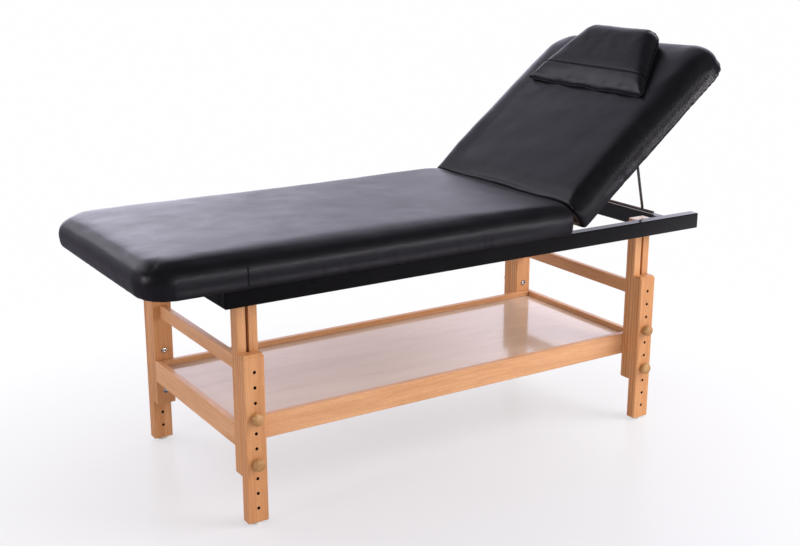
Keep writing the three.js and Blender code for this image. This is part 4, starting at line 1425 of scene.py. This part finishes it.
bail = sweepAlong("prop_rod", propPath(), propShape["radius"], 24, looks["propSteel"], closed=True)
finishPiece(bail, "prop", "prop_chrome", "prop_bail")
axlePath = [hub + Vector((0, y, 0)) for y in (-propShape["axleHalf"], 0, propShape["axleHalf"])]
axle = sweepAlong("prop_axle", axlePath, propShape["axleRadius"], 20, looks["darkSteel"])
finishPiece(axle, "prop", "prop_chrome")
print("prop made")


# fasteners under the table
hemShape = {"from": 0.03, "out": 0.0020, "step": 0.032, "bend": 4}
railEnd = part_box("front_rail")[0].x  # the pad hangs free beyond the rails
railHalf = 0.29
screw, staple = screwTemplate(), stapleTemplate()
down = Vector((0, 0, -1))
backDown = fromBack(0, 0, -1) - fromBack(0, 0, 0)


def hemSpots(reachIn, place, facing):
    s = hemShape
    radius, half = padShape["pocketRadius"], padShape["pocketHalf"]
    straight, width, wide = reachIn - radius, half - radius, radius + s["out"]
    centre = place(0, 0, 0)
    spots = []
    for side in (-1, 1):
        count = int(straight / s["step"])
        for k in range(count):
            u = s["from"] + k * (straight - s["from"]) / count
            spots.append((place(u, side * (half + s["out"]), padBase), facing, place(1, 0, 0) - centre))
        for k in range(s["bend"]):
            angle = math.pi / 2 * (k + 0.5) / s["bend"]
            u, y = straight + wide * math.sin(angle), width + wide * math.cos(angle)
            heading = place(math.cos(angle), -side * math.sin(angle), 0) - centre
            spots.append((place(u, side * y, padBase), facing, heading))
    count = int(2 * width / s["step"])
    for k in range(count + 1):
        y = -width + 2 * width * k / count
        spots.append((place(reachIn + s["out"], y, padBase), facing, Vector((0, 1, 0))))
    return spots


def battenSpots(counts, place, inverse, facing):
    spots = []
    for name, count in counts.items():
        across = list(zip(*(inverse(v.co) for v in nodes[name].data.vertices)))
        (lowU, highU), (lowY, highY), (base, _) = [(min(row), max(row)) for row in across]
        lengthwise = highU - lowU > highY - lowY
        for k in range(count):
            share = (k + 0.5) / count
            u = between(lowU, highU, share if lengthwise else 0.5)
            y = between(lowY, highY, 0.5 if lengthwise else share)
            spots.append((place(u, y, base), facing, Vector((math.cos(k * 1.7), math.sin(k * 1.7), 0))))
    return [spot for spot in spots if abs(spot[0].y) < railHalf]


mainHem = [spot for spot in hemSpots(mainPad["pocketReach"], fromMain, down) if spot[0].x < railEnd - 0.012]
backHem = [spot for spot in hemSpots(backPad["pocketReach"], fromBack, backDown) if abs(spot[0].y) < railHalf]
mainBattens = {"main_batten_front": 7, "main_batten_rear": 7, "main_batten_foot": 4, "main_batten_hinge": 4}
backBattens = {"back_batten_front": 4, "back_batten_rear": 4, "back_batten_hinge": 4, "back_batten_head": 3}
fasteners = [
    ("main_pad_staples", "frame", mainHem, staple, 0.12, 5),
    ("back_pad_staples", "backrest", backHem, staple, 0.12, 8),
    ("main_batten_screws", "frame", battenSpots(mainBattens, fromMain, toMain, down), screw, 0.7, 21),
    ("back_batten_screws", "backrest", battenSpots(backBattens, fromBack, toBack, backDown), screw, 0.7, 22),
]
for name, body, spots, template, wobble, seed in fasteners:
    made = plantAt(name, spots, template, looks["steel"], wobble, seed)
    finishPiece(made, body, "hinge_steel")
print("fasteners made")


# room
roomLook = {
    "floorTone": (0.915, 0.93, 0.955),
    "floorHalf": 14,
    # painted shade: the floor's colour in reflections, much darker than to the camera
    "paintedMirrorShade": (0.20, 0.19, 0.22, 1),
    "backdrop": (0.995, 0.995, 1.0, 1),
    # painted light and shade: the floor glows to the camera, painted grey near the table and white further
    # off; at least 0.62 of it is glow, lightening the real shadows
    "fade": (0.75, 2.6, 0.62),
    "fadeCentre": (-0.35, -0.75, 0),
    "nearPaintedShade": (0.79, 0.765, 0.795, 1),
    "near": (0.4, 1.9),
    "softTone": (0.985, 0.98, 1.0, 1),
    "softLight": 0.69,
    "glossTone": (0.87, 0.845, 1.0, 1),
}
glossSlopes = {  # what shines in the leather: direction, its range, and the light at both ends of it
    "behind": ("Y", -0.15, 0.75, 0.08, 3.0),
    "above": ("Z", 0.16, 0.56, 1.0, 0.44),
    "zenith": ("Z", 0.58, 0.90, 1.0, 0.30),
    "left": ("X", -0.20, 0.30, 0.20, 1.12),
    "right": ("X", 0.26, 0.53, 1.0, 0.38),
    "reliefUp": ("Z", 0.24, 0.31, 0, 1),
    "reliefAside": ("X", 0.48, 0.62, 0.2, 0.9),
}


def makeStage():
    material, graph, shader = startMaterial("paleFloor", Roughness=0.30, IOR=1.35)
    cloudy = graph.noise(graph.points(), 0.8, 3)
    tone = graph.ramp(cloudy, [(0.3, shaded(roomLook["floorTone"], 0.97)), (0.7, roomLook["floorTone"])])
    ray = lambda kind: graph.add("ShaderNodeLightPath", kind)
    graph.feed(shader, {"Base Color": graph.blend(ray("Is Glossy Ray"), tone, roomLook["paintedMirrorShade"])})
    # painted light: the camera sees this glow mixed into the floor, grey near the table as painted shade
    away = graph.vectors("DISTANCE", roomLook["fadeCentre"])
    spread = graph.ease(away, *roomLook["near"], way="LINEAR")
    paintedGlow = {"Color": graph.blend(spread, roomLook["nearPaintedShade"], roomLook["backdrop"]), "Strength": 1.0}
    paintedGlow = graph.add("ShaderNodeEmission", 0, paintedGlow)
    share = graph.ease(away, *roomLook["fade"]) * ray("Is Camera Ray")
    mix = graph.add("ShaderNodeMixShader", 0, {0: share, 1: Signal(graph, shader.outputs[0]), 2: paintedGlow})
    graph.feed(material.node_tree.nodes["Material Output"], {"Surface": mix})
    far = roomLook["floorHalf"]
    points = [(-far, -far, 0), (far, -far, 0), (far, far, 0), (-far, far, 0)]
    floor = makeObject("floor", points, [(0, 1, 2, 3)], material, smooth=False)


def makeWorld():  # a white backdrop behind the table, a dim room in front of it
    world = bpy.data.worlds.new("studio")
    bpy.context.scene.world = world
    world.use_nodes = True
    world.node_tree.nodes.clear()
    sky = Graph(world.node_tree)

    def light(colour, strength):
        return sky.add("ShaderNodeBackground", 0, {"Color": colour, "Strength": strength})

    def mix(ray, first, second):
        return sky.add("ShaderNodeMixShader", 0, {0: sky.add("ShaderNodeLightPath", ray), 1: first, 2: second})

    toward = sky.place("Generated")
    slopes = {name: sky.ease(sky.axis(axis, toward), *ends) for name, (axis, *ends) in glossSlopes.items()}
    right = slopes["right"]
    right = right + (1.0 - right) * (slopes["reliefUp"] * slopes["reliefAside"])
    share = slopes["behind"] * slopes["above"] * (slopes["left"] * right) * slopes["zenith"]
    lit = light(roomLook["softTone"], roomLook["softLight"])
    lit = mix("Is Glossy Ray", lit, light(roomLook["glossTone"], share))
    seen = mix("Is Camera Ray", lit, light(roomLook["backdrop"], 1.0))
    sky.feed(sky.tree.nodes.new("ShaderNodeOutputWorld"), {"Surface": seen})


makeStage()
makeWorld()

lamps = {  # place, what it points at, width and height, power, tint
    "keyLight": ((2.4, -1.9, 2.4), (0.3, 0, 0.3), (2.0, 2.0), 76, (1.0, 0.985, 0.98)),
    "backLight": ((-2.4, 2.9, 3.3), (0, 0, 0.3), (3.0, 3.0), 60, (0.97, 0.97, 1.0)),
    "lowStrip": ((2.2, -3.7, 0.80), (0.5, 0, 0.60), (5.4, 0.26), 52, (1.0, 0.99, 0.98)),
    "leftGlint": ((-4.2, -0.5, 1.45), (-1.1, -0.3, 0.6), (0.6, 0.6), 26, (1.0, 0.94, 0.97)),
}
for name, (at, to, size, power, tint) in lamps.items():
    data = bpy.data.lights.new(name, "AREA")
    data.shape = "RECTANGLE"
    data.size, data.size_y = size
    data.energy = power
    data.color = tint
    made = bpy.data.objects.new(name, data)
    made.location = at
    made.visible_glossy = name != "keyLight"
    made.rotation_euler = (Vector(to) - Vector(at)).to_track_quat("-Z", "Y").to_euler()
    bpy.context.scene.collection.objects.link(made)

cameraPlace = {
    "at": (-1.81974, -2.8635, 1.4476),
    "toward": (0.5163, 0.8115, -0.2737),
    "focal": 1225.2 / 800,
    "roll": math.radians(0.11),
}
cameraData = bpy.data.cameras.new("camera")
cameraData.sensor_fit = "HORIZONTAL"
cameraData.sensor_width = 36
cameraData.lens = 36 * cameraPlace["focal"]
cameraData.clip_end = 100
camera = bpy.data.objects.new("camera", cameraData)
bpy.context.scene.collection.objects.link(camera)
forward = Vector(cameraPlace["toward"]).normalized()
right = forward.cross(Vector((0, 0, 1))).normalized()
up = right.cross(forward)
cos, sin = math.cos(cameraPlace["roll"]), math.sin(cameraPlace["roll"])
turn = Matrix((right * cos + up * sin, up * cos - right * sin, -forward)).transposed().to_4x4()
camera.matrix_world = Matrix.Translation(cameraPlace["at"]) @ turn
bpy.context.scene.camera = camera
bpy.context.scene.view_settings.view_transform = "Standard"
print("stage, lights and camera ready")
